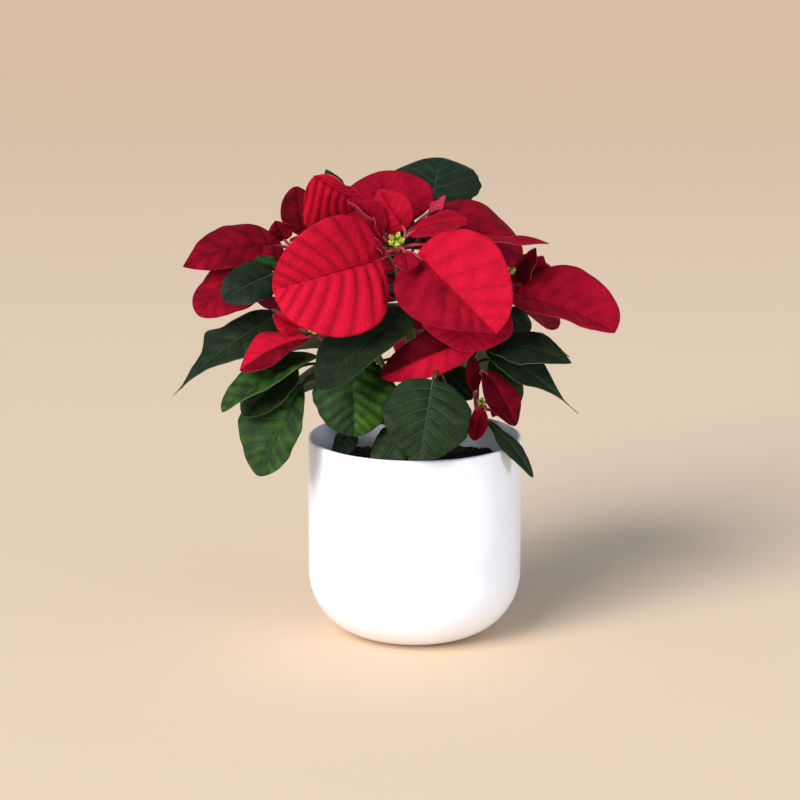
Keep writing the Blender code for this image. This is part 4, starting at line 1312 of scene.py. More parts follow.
class Room:
    """What is already placed, so that a blade placed by rule is turned or made smaller until it is clear
    of it.
    """

    def __init__(self) -> None:
        """Starts empty."""
        self.sheets: list[tuple[str, BVHTree]] = []
        self.stalks: list[tuple[str, BVHTree]] = []

    def add_blade(self, owner: str, blade: Blade, root: Vector) -> None:
        """Adds a blade and its stalk.

        Args:
            owner: The node that it belongs to.
            blade: The blade.
            root: Where its stalk starts.
        """
        self.sheets.append((owner, BVHTree.FromPolygons(*sheet(blade, 0.0))))
        self.add_stem(owner, stalk_route(root, blade), 2 * STALK_RADIUS)

    def add_solid(self, owner: str, node: Object) -> None:
        """Keeps blades off a finished solid, such as the pot.

        Args:
            owner: The node's name.
            node: The solid.
        """
        corners = [corner.co / MM for corner in node.data.vertices]
        faces = [tuple(face.vertices) for face in node.data.polygons]
        self.sheets.append((owner, BVHTree.FromPolygons(corners, faces)))

    def add_stem(self, owner: str, points: list[Vector], radius: float) -> None:
        """Adds a sleeve round a stem.

        Args:
            owner: The node that it belongs to.
            points: The stem's route in metres.
            radius: The sleeve's radius in metres.
        """
        self.stalks.append((owner, BVHTree.FromPolygons(*sleeve(points, radius))))

    def clear(self, owner: str, blade: Blade, root: Vector) -> bool:
        """Whether a blade and its stalk keep off every other piece.

        Args:
            owner: The node that it would belong to.
            blade: The blade.
            root: Where its stalk starts.

        Returns:
            True if nothing touches.
        """
        lifts = [BVHTree.FromPolygons(*sheet(blade, lift)) for lift in (0.0, -CLEARANCE, CLEARANCE)]
        stalk = BVHTree.FromPolygons(*sleeve(stalk_route(root, blade), 2 * STALK_RADIUS))
        for other, tree in self.sheets:
            tested = lifts[:1] if other == owner else lifts + [stalk]
            if any(tree.overlap(mine) for mine in tested):
                return False
        for other, tree in self.stalks:
            if other != owner and any(tree.overlap(mine) for mine in lifts + [stalk]):
                return False
        return True


@dataclass(frozen=True)
class Pose:
    """One ruled blade before it is set round its axis: degrees and millimetres."""

    azimuth: float
    rise: float
    stalk: float
    length: float
    width: float
    arch: float
    outline: Outline

    def blade(self, root: Vector, axis: Point) -> Blade:
        """Sets the pose round an axis.

        Args:
            root: Where its stalk starts, in metres.
            axis: The shoot's direction.

        Returns:
            The blade.
        """
        up = unit(axis)
        level = up.cross(UP).normalized()
        other = level.cross(up)
        azimuth, rise = math.radians(self.azimuth), math.radians(self.rise)
        around = level * math.cos(azimuth) + other * math.sin(azimuth)
        heading = around * math.cos(rise) + up * math.sin(rise)
        base = root / MM + heading * self.stalk
        tip = base + (heading - DROOP * UP).normalized() * self.length
        face = up * math.cos(rise) - around * math.sin(rise) + SKYWARD * UP
        form = (tuple(base), tuple(tip), tuple(face), self.width, self.outline)
        return Blade(*form, arch=self.arch, cells=SMALL)


@dataclass(frozen=True)
class Habit:
    """How blades placed by rule look, from the outermost to the innermost.

    Each pair is a lowest and a highest value. Angles are in degrees, lengths in millimetres.
    """

    rise: Range
    inner_rise: float
    stalk: Range
    size: Range
    taper: float
    ratio: Range
    arch: Range
    outlines: tuple[Outline, ...]

    def pose(self, draw: random.Random, order: int, length: float, start: float) -> Pose:
        """The pose at one place in the golden-angle order.

        Args:
            draw: The shoot's own random draws.
            order: The place in the order.
            length: The outermost blades' length.
            start: The first blade's azimuth.

        Returns:
            The pose.
        """
        inner = min(order, INNERMOST) / INNERMOST
        span = length * (1 - self.taper * inner) * draw.uniform(*self.size)
        return Pose(
            azimuth=start + GOLDEN_ANGLE * order,
            rise=self.inner_rise * inner + draw.uniform(*self.rise),
            stalk=draw.uniform(*self.stalk),
            length=span,
            width=span * draw.uniform(*self.ratio),
            arch=draw.uniform(*self.arch),
            outline=draw.choice(self.outlines),
        )


BRACT_HABIT = Habit(
    rise=(-23, -13),
    inner_rise=62,
    stalk=(12, 15),
    size=(0.92, 1.08),
    taper=0.5,
    ratio=(0.72, 0.86),
    arch=(28, 46),
    outlines=(ROUND, OVATE, OVAL),
)
LEAF_HABIT = Habit(
    rise=(-20, 4),
    inner_rise=0,
    stalk=(26, 36),
    size=(0.85, 1.05),
    taper=0.0,
    ratio=(0.58, 0.70),
    arch=(26, 44),
    outlines=(OVATE, LOBED, OVATE),
)


def tries() -> Iterator[tuple[float, float, float]]:
    """Shares of size, rises and turns to try in order until a blade is clear."""
    for size in TRY_SIZES:
        for rise in TRY_RISES:
            for turn in TRY_TURNS:
                yield size, rise, turn


Planted = list[tuple[Blade, Vector]]


class Planting:
    """The place of every bract and leaf, worked out as in the part's source."""

    def __init__(self, shoots: tuple[Shoot, ...], nodes: dict[str, Object]) -> None:
        """Works out the whole plan.

        Args:
            shoots: The plant's shoots.
            nodes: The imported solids, of which the pot and the soil are kept clear.
        """
        self.room = Room()
        self.bracts: dict[str, Planted] = {}
        self.leaves: dict[str, Planted] = {}
        for name in ("pot", "soil"):
            self.room.add_solid(name, nodes[name])
        for shoot in shoots:
            self.add_by_hand(shoot)
        for shoot in shoots:
            self.add_by_rule(shoot)

    def add_by_hand(self, shoot: Shoot) -> None:
        """Adds a shoot's stem, hub, flowers and the blades that the photograph shows.

        Args:
            shoot: The shoot.
        """
        bloom, stem = "bloom_" + shoot.name, "shoot_" + shoot.name
        start, end = shoot.hub_ends()
        self.room.add_stem(stem, shoot.stem_route(), 2 * STEM_RADIUS)
        self.room.add_stem(bloom, [start, end], 2 * HUB_RADIUS)
        flowers = [end, end + unit(shoot.axis) * FLOWER_HEIGHT * shoot.flower_size]
        self.room.add_stem("flowers_" + shoot.name, flowers, FLOWER_ROOM * shoot.flower_size)
        bracts = [(blade, shoot.bract_root(order)) for order, blade in enumerate(shoot.bracts)]
        leaves = [(blade, shoot.stem_place(blade.joint)) for blade in shoot.leaves]
        for owner, planted in ((bloom, bracts), (stem, leaves)):
            for blade, root in planted:
                self.room.add_blade(owner, blade, root)
        self.bracts[shoot.name] = bracts
        self.leaves[shoot.name] = leaves

    def add_by_rule(self, shoot: Shoot) -> None:
        """Adds the blades that the photograph hides.

        Args:
            shoot: The shoot.
        """
        bloom, stem = "bloom_" + shoot.name, "shoot_" + shoot.name
        hub_roots = [shoot.bract_root(order) for order in range(shoot.more_bracts)]
        shares = [HIGHEST_LEAF - LEAF_STEP * order for order in range(shoot.more_leaves)]
        stem_roots = [shoot.stem_place(share) for share in shares]
        self.bracts[shoot.name] += self.ruled(bloom, shoot, hub_roots, shoot.bract_length, BRACT_HABIT)
        self.leaves[shoot.name] += self.ruled(stem, shoot, stem_roots, shoot.leaf_length, LEAF_HABIT)

    def allowed(self, owner: str, shoot: Shoot, blade: Blade, root: Vector) -> bool:
        """Whether a blade points the shoot's way, stays within its heights and is clear.

        Args:
            owner: The node that it would belong to.
            shoot: Its shoot.
            blade: The blade.
            root: Where its stalk starts.

        Returns:
            True if it may stay.
        """
        heading = (Vector(blade.tip) - Vector(blade.base)).normalized()
        heights = [corner.z for corner in sheet(blade, 0.0)[0]]
        inside = shoot.floor <= min(heights) and max(heights) <= shoot.ceiling
        return heading.y >= shoot.away and inside and self.room.clear(owner, blade, root)

    def ruled(
        self, owner: str, shoot: Shoot, roots: list[Vector], length: float, habit: Habit
    ) -> Planted:
        """Places blades at the golden angle, each turned or made smaller until it is clear.

        Args:
            owner: The node that they belong to.
            shoot: Their shoot.
            roots: Where their stalks start.
            length: The outermost blades' length.
            habit: How they grow.

        Returns:
            The blades with their roots.
        """
        draw = random.Random(shoot.seed)
        placed_ones: Planted = []
        start = draw.uniform(0, 360)
        for order in range(len(roots) * TRY_ROUNDS):
            if len(placed_ones) == len(roots):
                break
            pose = habit.pose(draw, order, length, start)
            root = roots[len(placed_ones)]
            for size, rise, turn in tries():
                tried = replace(
                    pose,
                    azimuth=pose.azimuth + turn,
                    rise=pose.rise + rise,
                    length=pose.length * size,
                    width=pose.width * size,
                )
                blade = tried.blade(root, shoot.axis)
                if self.allowed(owner, shoot, blade, root):
                    self.room.add_blade(owner, blade, root)
                    placed_ones.append((blade, root))
                    break
        return placed_ones


# A tone that is partly painted light and shade, a quilt and a count of veins, then what else is special
# about each blade, where a bract's vein ink is painted shade in its valleys
BRACT_LOOKS = {
    "centre": (
        Look(0.72, 1.2, 9, vein_ink_and_painted_shade=0.30, far_tone_and_painted_light=0.86, far_quilt=2.3, far_vein_ink_and_painted_shade=0.36),
        Look(0.42, 1.4, 7, vein_ink_and_painted_shade=0.26, far_tone_and_painted_light=0.72, far_quilt=1.0, far_vein_ink_and_painted_shade=0.14),
        Look(0.40, 0.1, 6, groove=0.3),
        Look(0.57, 0.7, 7, groove=0.4, vein_ink_and_painted_shade=0.2),
        Look(1.0, 1.6, 6, groove=0.2, vein_ink_and_painted_shade=0.30, lean=-0.9, fan=0.2),
        Look(0.61, 0.3, 7),
        Look(0.40, 0.2, 7),
        Look(0.44, 0.2, 7),
        Look(0.50, 0.3, 7),
        Look(0.44, 0.1, 5, groove=0.3),
        Look(0.44, 0.1, 5, groove=0.3),
        Look(0.47, 0.4, 7, groove=0.3, vein_ink_and_painted_shade=0.08),
        Look(0.41, 0.4, 8, groove=0.3, vein_ink_and_painted_shade=0.10),
        Look(0.48, 0.2, 6, groove=0.3),
        Look(0.48, 0.2, 8),
    ),
    "left": (
        Look(0.32, 1.1, 7, vein_ink_and_painted_shade=0.25),
        Look(0.38, 0.8, 7, groove=0.9, vein_ink_and_painted_shade=0.15),
        Look(0.20, 0.5, 7, vein_ink_and_painted_shade=0.15),
        Look(0.27, 0.2, 6, groove=0.3),
    ),
    "right": (
        Look(0.50, 0.6, 8, groove=0.3, vein_ink_and_painted_shade=0.12),
        Look(0.24, 0.2, 6, groove=0.3),
        Look(0.31, 0.2, 6, groove=0.3),
    ),
    "low_left": (
        Look(0.79, 0.3, 8, vein_ink_and_painted_shade=0.08, far_tone_and_painted_light=0.28),
        Look(0.90, 0.2, 6, groove=0.3),
        Look(0.57, 0.2, 7, groove=0.3),
        Look(0.40, 0.2, 6, groove=0.3),
    ),
    "low_right": (
        Look(0.16, 0.2, 6, groove=0.3),
        Look(0.06, 0.2, 7, groove=0.4, far_tone_and_painted_light=0.22),
        Look(0.28, 0.2, 6, groove=0.4),
        Look(0.12, 0.1, 5, groove=0.2),
    ),
    "front_right": (Look(0.14, 0.8, 7, vein_ink_and_painted_shade=0.15, far_tone_and_painted_light=0.70),),
}
# Leaf tones are partly the leaves' own greens and partly painted light and shade
LEAF_LOOKS = {
    "centre": (
        Look(0.0, 0.4, 6, vein_ink_and_painted_shade=0.22),
        Look(0.0, 0.4, 8, vein_ink_and_painted_shade=0.10),
        Look(0.1, 0.1, 6, vein_ink_and_painted_shade=0.1),
    ),
    "left": (
        Look(0.0, 0.4, 6, vein_ink_and_painted_shade=0.05),
        Look(0.0, 1.0, 8, vein_ink_and_painted_shade=0.10),
        Look(0.2, 0.1, 5, groove=0.2),
    ),
    "right": (
        Look(0.05, 0.3, 8, vein_ink_and_painted_shade=0.05),
        Look(0.22, 0.4, 7, vein_ink_and_painted_shade=0.05),
        Look(0.10, 0.3, 6, vein_ink_and_painted_shade=0.05),
    ),
    "low_left": (
        Look(0.34, 0.7, 8, vein_ink_and_painted_shade=0.12),
        Look(0.12, 0.8, 8, vein_ink_and_painted_shade=0.15),
        Look(0.34, 1.0, 8, vein_ink_and_painted_shade=0.20),
        Look(0.24, 1.5, 7, vein_ink_and_painted_shade=0.0, far_tone_and_painted_light=0.46),
        Look(0.0, 0.3, 6),
    ),
    "low_right": (
        Look(0.12, 0.9, 8, vein_ink_and_painted_shade=0.20),
        Look(0.08, 0.4, 8, vein_ink_and_painted_shade=0.10),
        Look(0.14, 0.3, 6),
    ),
    "front_right": (
        Look(0.0, 0.3, 7, vein_ink_and_painted_shade=0.05),
        Look(0.10, 0.3, 6, vein_ink_and_painted_shade=0.1),
    ),
}
RULED_BRACT = Look(0.50, 0.8, 7, vein_ink_and_painted_shade=0.15)
RULED_LEAF = Look(0.10, 0.6, 8, vein_ink_and_painted_shade=0.15)


@dataclass(frozen=True)
class StalkMaker:
    """The stalk of a blade, which runs on as the rib under it. Sizes in millimetres.

    The rib sinks into the blade over its first part, by shares of its radius and of the groove.
    """

    sides: int = 8
    stalk_points: int = 9
    rib_points: int = 12
    rib_end: float = 0.93
    rib_tip_radius: float = 0.2
    full_width: float = 30
    beside: float = 0.05
    sinking: float = 0.12
    groove_share: float = 0.7
    radius_share: float = 0.8

    def make(self, bm: BMesh, blade: Blade, root: Vector, groove: float) -> None:
        """Adds one stalk with its rib.

        Args:
            bm: The mesh that gets it.
            blade: The blade that it carries.
            root: Where it starts, in metres.
            groove: How deep the blade's midrib is sunk.
        """
        points = stalk_route(root, blade, self.stalk_points)[:-1]
        radii = [STALK_RADIUS] * len(points)
        along = np.linspace(ENTRY_STEP, self.rib_end, self.rib_points)
        places = blade.surface(along, np.zeros(self.rib_points)) * MM
        beside = blade.surface(along, np.full(self.rib_points, self.beside)) * MM
        size = min(blade.width / self.full_width, 1.0) * STALK_RADIUS
        for index, share in enumerate(along):
            ahead = Vector(places[min(index + 1, self.rib_points - 1)] - places[max(index - 1, 0)])
            out = ahead.cross(Vector(beside[index] - places[index])).normalized()
            radius = size + (self.rib_tip_radius * MM - size) * share
            depth = groove * MM * self.groove_share + radius * self.radius_share
            points.append(Vector(places[index]) - out * (min(share / self.sinking, 1.0) * depth))
            radii.append(radius)
        sweep(bm, points, radii, self.sides)


@dataclass
class Foliage:
    """One shoot's blades of one kind on their stalks.

    Blades placed by rule have coarser grids, and looks that vary on one look.
    """

    shoot: Shoot
    planted: Planted
    maker: BladeMaker = BladeMaker()
    stalks: StalkMaker = StalkMaker()
    ruled_rows: int = 40
    ruled_columns: int = 20
    tone_spread: float = 0.15
    stem_sides: int = 16

    def blades(
        self, bm: BMesh, name: str, looks: tuple[Look, ...], ruled: Look, finish: Finish
    ) -> list[Object]:
        """Builds the blades and their stalks.

        Args:
            bm: The mesh that gets the stalks.
            name: The piece's name.
            looks: The looks of the listed blades, in order.
            ruled: The look that the others vary on.
            finish: The blades' finish.

        Returns:
            The blades' objects.
        """
        draw = random.Random(name)
        coarse = replace(self.maker, rows=self.ruled_rows, columns=self.ruled_columns)
        parts = []
        for order, (blade, root) in enumerate(self.planted):
            tone = ruled.tone + draw.uniform(-self.tone_spread, self.tone_spread)
            varied = replace(ruled, tone=tone, veins=ruled.veins + draw.choice((-1, 0, 1)))
            by_hand = order < len(looks)
            look = looks[order] if by_hand else varied
            maker = self.maker if by_hand else coarse
            parts.append(maker.make(blade, look, order, f"{name}_{order}", finish))
            self.stalks.make(bm, blade, root, look.groove)
        return parts


@dataclass
class Bloom(Foliage):
    """One head's red bracts on their hub."""

    def build(self) -> None:
        """Builds the bracts, their stalks and the hub as one piece."""
        name = "bracts_" + self.shoot.name
        start, end = self.shoot.hub_ends()
        low = start + unit(self.shoot.axis) * GAP
        bm = bmesh.new()
        sweep(bm, [low, end], [STEM_RADIUS, HUB_RADIUS], self.stem_sides)
        looks = BRACT_LOOKS.get(self.shoot.name, ())
        parts = self.blades(bm, name, looks, RULED_BRACT, Finish.BRACT)
        parts.append(object_from(bm, name + "_stalks", Finish.BRACT_STALK))
        placed(joined(name, parts), "bloom_" + self.shoot.name)


@dataclass
class LeafyStem(Foliage):
    """One green stem with its leaves, whose margins are a little more uneven."""

    maker: BladeMaker = BladeMaker(margin=0.022)
    stem_points: int = 25

    def build(self) -> None:
        """Builds the leaves, their stalks and the stem as one piece."""
        name = "leaves_" + self.shoot.name
        bm = bmesh.new()
        looks = LEAF_LOOKS.get(self.shoot.name, ())
        parts = self.blades(bm, name, looks, RULED_LEAF, Finish.LEAF)
        parts.append(object_from(bm, name + "_stalks", Finish.LEAF_STALK))
        bm = bmesh.new()
        route = self.shoot.stem_route(self.stem_points)
        sweep(bm, route, [STEM_RADIUS] * len(route), self.stem_sides)
        parts.append(object_from(bm, name + "_stem", Finish.STEM))
        placed(joined(name, parts), "shoot_" + self.shoot.name)


@dataclass
class FlowerCluster:
    """The small true flowers in the middle of one head.

    Sizes are in metres at full size, and places on a cup are shares of its radius.
    """

    shoot: Shoot
    count: int = 5
    base_sides: int = 24
    base_radius: float = 0.0024
    cup_radius: float = 0.0042
    cup_height: float = 0.0026
    bead_radius: float = 0.0020
    bead_stretch: float = 1.35
    bead_grid: tuple[int, int] = (20, 14)
    flutes: int = 5
    flute_depth: float = 0.05
    mouth: float = 0.72
    mouth_depth: float = 1.6
    spread: float = 0.0038
    bead_height: float = 0.0036
    bead_step: float = 0.0008
    gland_radius: float = 0.0009
    gland_grid: tuple[int, int] = (16, 10)
    gland_out: float = 0.75
    gland_up: float = 0.9
    gland_shape: Point = (0.62, 1.25, 0.8)
    stamens_each: int = 4
    stamen_up: float = 0.9
    stamen_lean: float = 0.5
    stamen_length: float = 0.0022
    stamen_shares: Range = (0.35, 0.7)
    stamen_radius: float = 0.00012
    stamen_sides: int = 5
    anther_radius: float = 0.00034

    def place(self) -> Matrix:
        """Where the cluster stands: the hub's end, along its axis."""
        up = unit(self.shoot.axis)
        foot = Vector(self.shoot.hub) * MM + up * (HUB_LENGTH + 2 * GAP)
        turn = up.to_track_quat("Z", "Y")
        return Matrix.LocRotScale(foot, turn, Vector((self.shoot.flower_size,) * 3))

    def heads(self) -> Iterator[tuple[Vector, float]]:
        """Centre and azimuth of each flower's cup."""
        for index in range(self.count):
            angle = 2 * math.pi * index / self.count
            height = self.bead_height + self.bead_step * (index % 2)
            centre = (self.spread * math.cos(angle), self.spread * math.sin(angle), height)
            yield Vector(centre), angle

    def cups(self) -> Object:
        """Builds the base and the green cups, each fluted in five lobes round its side, with a sunken
        mouth.
        """
        bm = bmesh.new()
        bmesh.ops.create_cone(
            bm,
            cap_ends=True,
            segments=self.base_sides,
            radius1=self.base_radius,
            radius2=self.cup_radius,
            depth=self.cup_height,
            matrix=Matrix.Translation((0, 0, self.cup_height / 2)),
        )
        for centre, _ in self.heads():
            egg = Matrix.LocRotScale(centre, None, Vector((1, 1, self.bead_stretch)))
            grid = dict(zip(("u_segments", "v_segments"), self.bead_grid))
            made = bmesh.ops.create_uvsphere(bm, radius=self.bead_radius, matrix=egg, **grid)
            for corner in made["verts"]:
                flat = Vector((corner.co.x - centre.x, corner.co.y - centre.y, 0))
                height = (corner.co.z - centre.z) / (self.bead_radius * self.bead_stretch)
                wave = math.cos(self.flutes * math.atan2(flat.y, flat.x))
                flute = 1 + self.flute_depth * wave * (1 - abs(height))
                corner.co.x = centre.x + flat.x * flute
                corner.co.y = centre.y + flat.y * flute
                if height > self.mouth:
                    corner.co.z -= self.bead_radius * (height - self.mouth) * self.mouth_depth
        return object_from(bm, "cups", Finish.CUP)

    def glands(self) -> Object:
        """Builds the yellow lip-shaped nectar gland on each cup's outer side."""
        bm = bmesh.new()
        for centre, angle in self.heads():
            out = Vector((math.cos(angle), math.sin(angle), 0))
            spot = centre + out * self.bead_radius * self.gland_out + UP * self.bead_radius * self.gland_up
            lip = Matrix.LocRotScale(spot, Quaternion(UP, angle), Vector(self.gland_shape))
            grid = dict(zip(("u_segments", "v_segments"), self.gland_grid))
            bmesh.ops.create_uvsphere(bm, radius=self.gland_radius, matrix=lip, **grid)
        return object_from(bm, "glands", Finish.GLAND)

    def stamens(self) -> Object:
        """Builds the few red stamens that stand out of each cup's mouth."""
        bm = bmesh.new()
        draw = random.Random(self.shoot.seed)
        for centre, _ in self.heads():
            foot = centre + UP * self.bead_radius * self.stamen_up
            for _ in range(self.stamens_each):
                across = [draw.uniform(-self.stamen_lean, self.stamen_lean) for _ in range(2)]
                lean = Vector((*across, 1.0)).normalized()
                end = foot + lean * self.stamen_length * draw.uniform(*self.stamen_shares)
                route = [foot, (foot + end) / 2, end]
                sweep(bm, route, [self.stamen_radius] * 3, self.stamen_sides)
                tip = Matrix.Translation(end)
                bmesh.ops.create_icosphere(bm, subdivisions=1, radius=self.anther_radius, matrix=tip)
        return object_from(bm, "stamens", Finish.STAMEN)

    def build(self) -> None:
        """Builds the cluster as one piece."""
        piece = joined("true_flowers_" + self.shoot.name, [self.cups(), self.glands(), self.stamens()])
        piece.data.transform(self.place())
        placed(piece, "flowers_" + self.shoot.name)


def arc(centre: Range, radius: float, start: float, end: float, steps: int) -> list[Vector]:
    """Points of a section along an arc.

    Args:
        centre: Distance from the turning axis, and height.
        radius: The arc's radius.
        start: Where it starts, in degrees.
        end: Where it ends, in degrees.
        steps: How many steps.

    Returns:
        Points in the XZ plane.
    """
    places = []
    for step in range(steps + 1):
        angle = math.radians(start + (end - start) * step / steps)
        out, up = radius * math.cos(angle), radius * math.sin(angle)
        places.append(Vector((centre[0] + out, 0, centre[1] + up)))
    return places


def strung(bm: BMesh, places: list[Vector]) -> tuple[list, list]:
    """Adds a chain of edges through places.

    Args:
        bm: The mesh that gets it.
        places: Its corners, in metres.

    Returns:
        Its corners and its edges.
    """
    corners = [bm.verts.new(place) for place in places]
    return corners, [bm.edges.new(pair) for pair in zip(corners, corners[1:])]


def turned(bm: BMesh, profile: list[Vector], steps: int) -> None:
    """Turns an open section about Z into a closed surface.

    Args:
        bm: The mesh that gets it.
        profile: The section, with both ends on the axis or joined.
        steps: Steps round the axis.
    """
    corners, edges = strung(bm, profile)
    bmesh.ops.spin(
        bm,
        geom=corners + edges,
        cent=(0, 0, 0),
        axis=UP,
        angle=2 * math.pi,
        steps=steps,
        use_merge=True,
    )
    bmesh.ops.remove_doubles(bm, verts=bm.verts, dist=MERGE)


@dataclass
class Pot:
    """The white pot."""

    radius: float = 0.075
    height: float = 0.1425
    wall: float = 0.0035
    corner: float = 0.045
    steps: int = 160
    foot_steps: int = 28
    lip_steps: int = 12
    inner_steps: int = 24

    def section(self) -> list[Vector]:
        """The wall's section, from the middle of the base out, up, over the lip and back inside."""
        lip = self.wall / 2
        round_at = (self.radius - self.corner, self.corner)
        outside = arc(round_at, self.corner, -90, 0, self.foot_steps)
        over = arc((self.radius - lip, self.height - lip), lip, 0, 180, self.lip_steps)
        inside = arc(round_at, self.corner - self.wall, 0, -90, self.inner_steps)
        return [Vector((0, 0, 0)), *outside, *over, *inside, Vector((0, 0, self.wall))]

    def build(self) -> None:
        """Builds the pot as one turned piece."""
        bm = bmesh.new()
        turned(bm, self.section(), self.steps)
        placed(object_from(bm, "white_pot", Finish.GLAZE), "pot")


@dataclass
class Soil:
    """The potting soil, with a crumbly top. Sizes in metres, rates in radians a metre.

    A noise is its roughness, its lacunarity and its octaves. A crumb lies on the top by a share of
    its size, and its corners are moved by shares of their own distance.
    """

    top: float = 0.119
    relief: float = 0.0020
    broad: float = 140
    fine: float = 275
    lump_height: float = 0.0011
    lump_rate: float = 260
    lump_noise: tuple[float, float, int] = (0.8, 2.2, 4)
    rings: int = 60
    steps: int = 120
    corner_steps: int = 16
    crumbs: int = 700
    crumb_sizes: Range = (0.0006, 0.0026)
    crumb_shares: Range = (0.6, 1.0)
    crumb_widths: Range = (0.6, 0.9)
    crumb_heights: Range = (0.5, 0.8)
    crumb_turn: float = 2.0
    crumb_lift: float = 0.25
    crumb_knobs: Range = (-0.25, 0.2)
    edge: float = 0.003
    hole_radius: float = 0.0053
    seed: int = 3

    def height(self, x: float, y: float) -> float:
        """Height of the soil's top at a place.

        Args:
            x: The place's distance to the right of the pot's axis, in metres.
            y: Its distance behind the axis.

        Returns:
            The height in metres.
        """
        broad = math.sin(self.broad * x + 1) * math.cos(self.broad * y)
        fine = math.sin(self.fine * (x - y)) / 2
        lumps = noise.fractal(Vector((x, y, 0)) * self.lump_rate, *self.lump_noise)
        return self.top + self.relief * (broad + fine) + self.lump_height * lumps

    def add_crumb(self, bm: BMesh, draw: random.Random, side: float) -> None:
        """Adds one crumb, unless it would lie in the trunk's hole.

        Args:
            bm: The mesh that gets it.
            draw: The soil's random draws.
            side: The soil's radius.
        """
        angle = draw.uniform(0, 2 * math.pi)
        away = math.sqrt(draw.random()) * (side - self.edge)
        size = draw.uniform(*self.crumb_sizes) * draw.uniform(*self.crumb_shares)
        if away < self.hole_radius + size:
            return
        x, y = away * math.cos(angle), away * math.sin(angle)
        turn = Quaternion([draw.uniform(-1, 1) for _ in range(3)], self.crumb_turn)
        shape = Vector((1.0, draw.uniform(*self.crumb_widths), draw.uniform(*self.crumb_heights)))
        spot = Vector((x, y, self.height(x, y) + size * self.crumb_lift))
        place = Matrix.LocRotScale(spot, turn.normalized(), shape)
        made = bmesh.ops.create_icosphere(bm, subdivisions=1, radius=size, matrix=place)
        for knob in made["verts"]:
            knob.co += (knob.co - spot) * draw.uniform(*self.crumb_knobs)

    def build(self, pot: Pot) -> None:
        """Builds the soil's body and the crumbs that lie on it.

        Args:
            pot: The pot that it fills.
        """
        side = pot.radius - pot.wall - GAP
        corner = pot.corner - pot.wall - GAP
        rings = [Vector((side * step / self.rings, 0, self.top)) for step in range(self.rings + 1)]
        below = arc((pot.radius - pot.corner, pot.corner), corner, 0, -90, self.corner_steps)
        bm = bmesh.new()
        turned(bm, rings + below + [Vector((0, 0, pot.wall + GAP))], self.steps)
        for spot in bm.verts:
            if spot.co.z > self.top - MM:
                spot.co.z = self.height(spot.co.x, spot.co.y)
        draw = random.Random(self.seed)
        for _ in range(self.crumbs):
            self.add_crumb(bm, draw, side)
        placed(object_from(bm, "potting_soil", Finish.SOIL), "soil")


@dataclass
class Trunk:
    """The woody trunk with a short stub for each shoot. Sizes in metres.

    The bark's noise is its roughness, its lacunarity and its octaves.
    """

    base: float = 0.095
    top: float = TRUNK_TOP_Z
    radius: float = 0.0050
    top_share: float = 0.8
    swell: float = 0.05
    swell_rate: float = 21
    rings: int = 40
    sides: int = 32
    stub_rings: int = 8
    stub_sides: int = 20
    bark_depth: float = 0.00035
    bark_rates: Point = (900, 900, 260)
    bark_noise: tuple[float, float, int] = (0.9, 2.1, 3)

    def build(self, shoots: tuple[Shoot, ...]) -> None:
        """Builds the trunk and its stubs.

        Args:
            shoots: The shoots that leave it.
        """
        bm = bmesh.new()
        points, radii = [], []
        for step in range(self.rings + 1):
            share = step / self.rings
            points.append(Vector((0, 0, self.base + (self.top - self.base) * share)))
            swell = 1 + self.swell * math.sin(share * self.swell_rate) ** 2
            radii.append(self.radius * (1 + (self.top_share - 1) * share) * swell)
        sweep(bm, points, radii, self.sides)
        shares = [step / self.stub_rings for step in range(self.stub_rings + 1)]
        widths = [STUB_RADIUS + (STEM_RADIUS - STUB_RADIUS) * share for share in shares]
        for shoot in shoots:
            start, end, _ = shoot.stub_ends()
            sweep(bm, [start.lerp(end, share) for share in shares], widths, self.stub_sides)
        bm.normal_update()
        for spot in bm.verts:
            place = Vector([at * rate for at, rate in zip(spot.co, self.bark_rates)])
            rough = noise.fractal(place, *self.bark_noise)
            spot.co += spot.normal * self.bark_depth * rough
        placed(object_from(bm, "woody_trunk", Finish.BARK), "trunk")


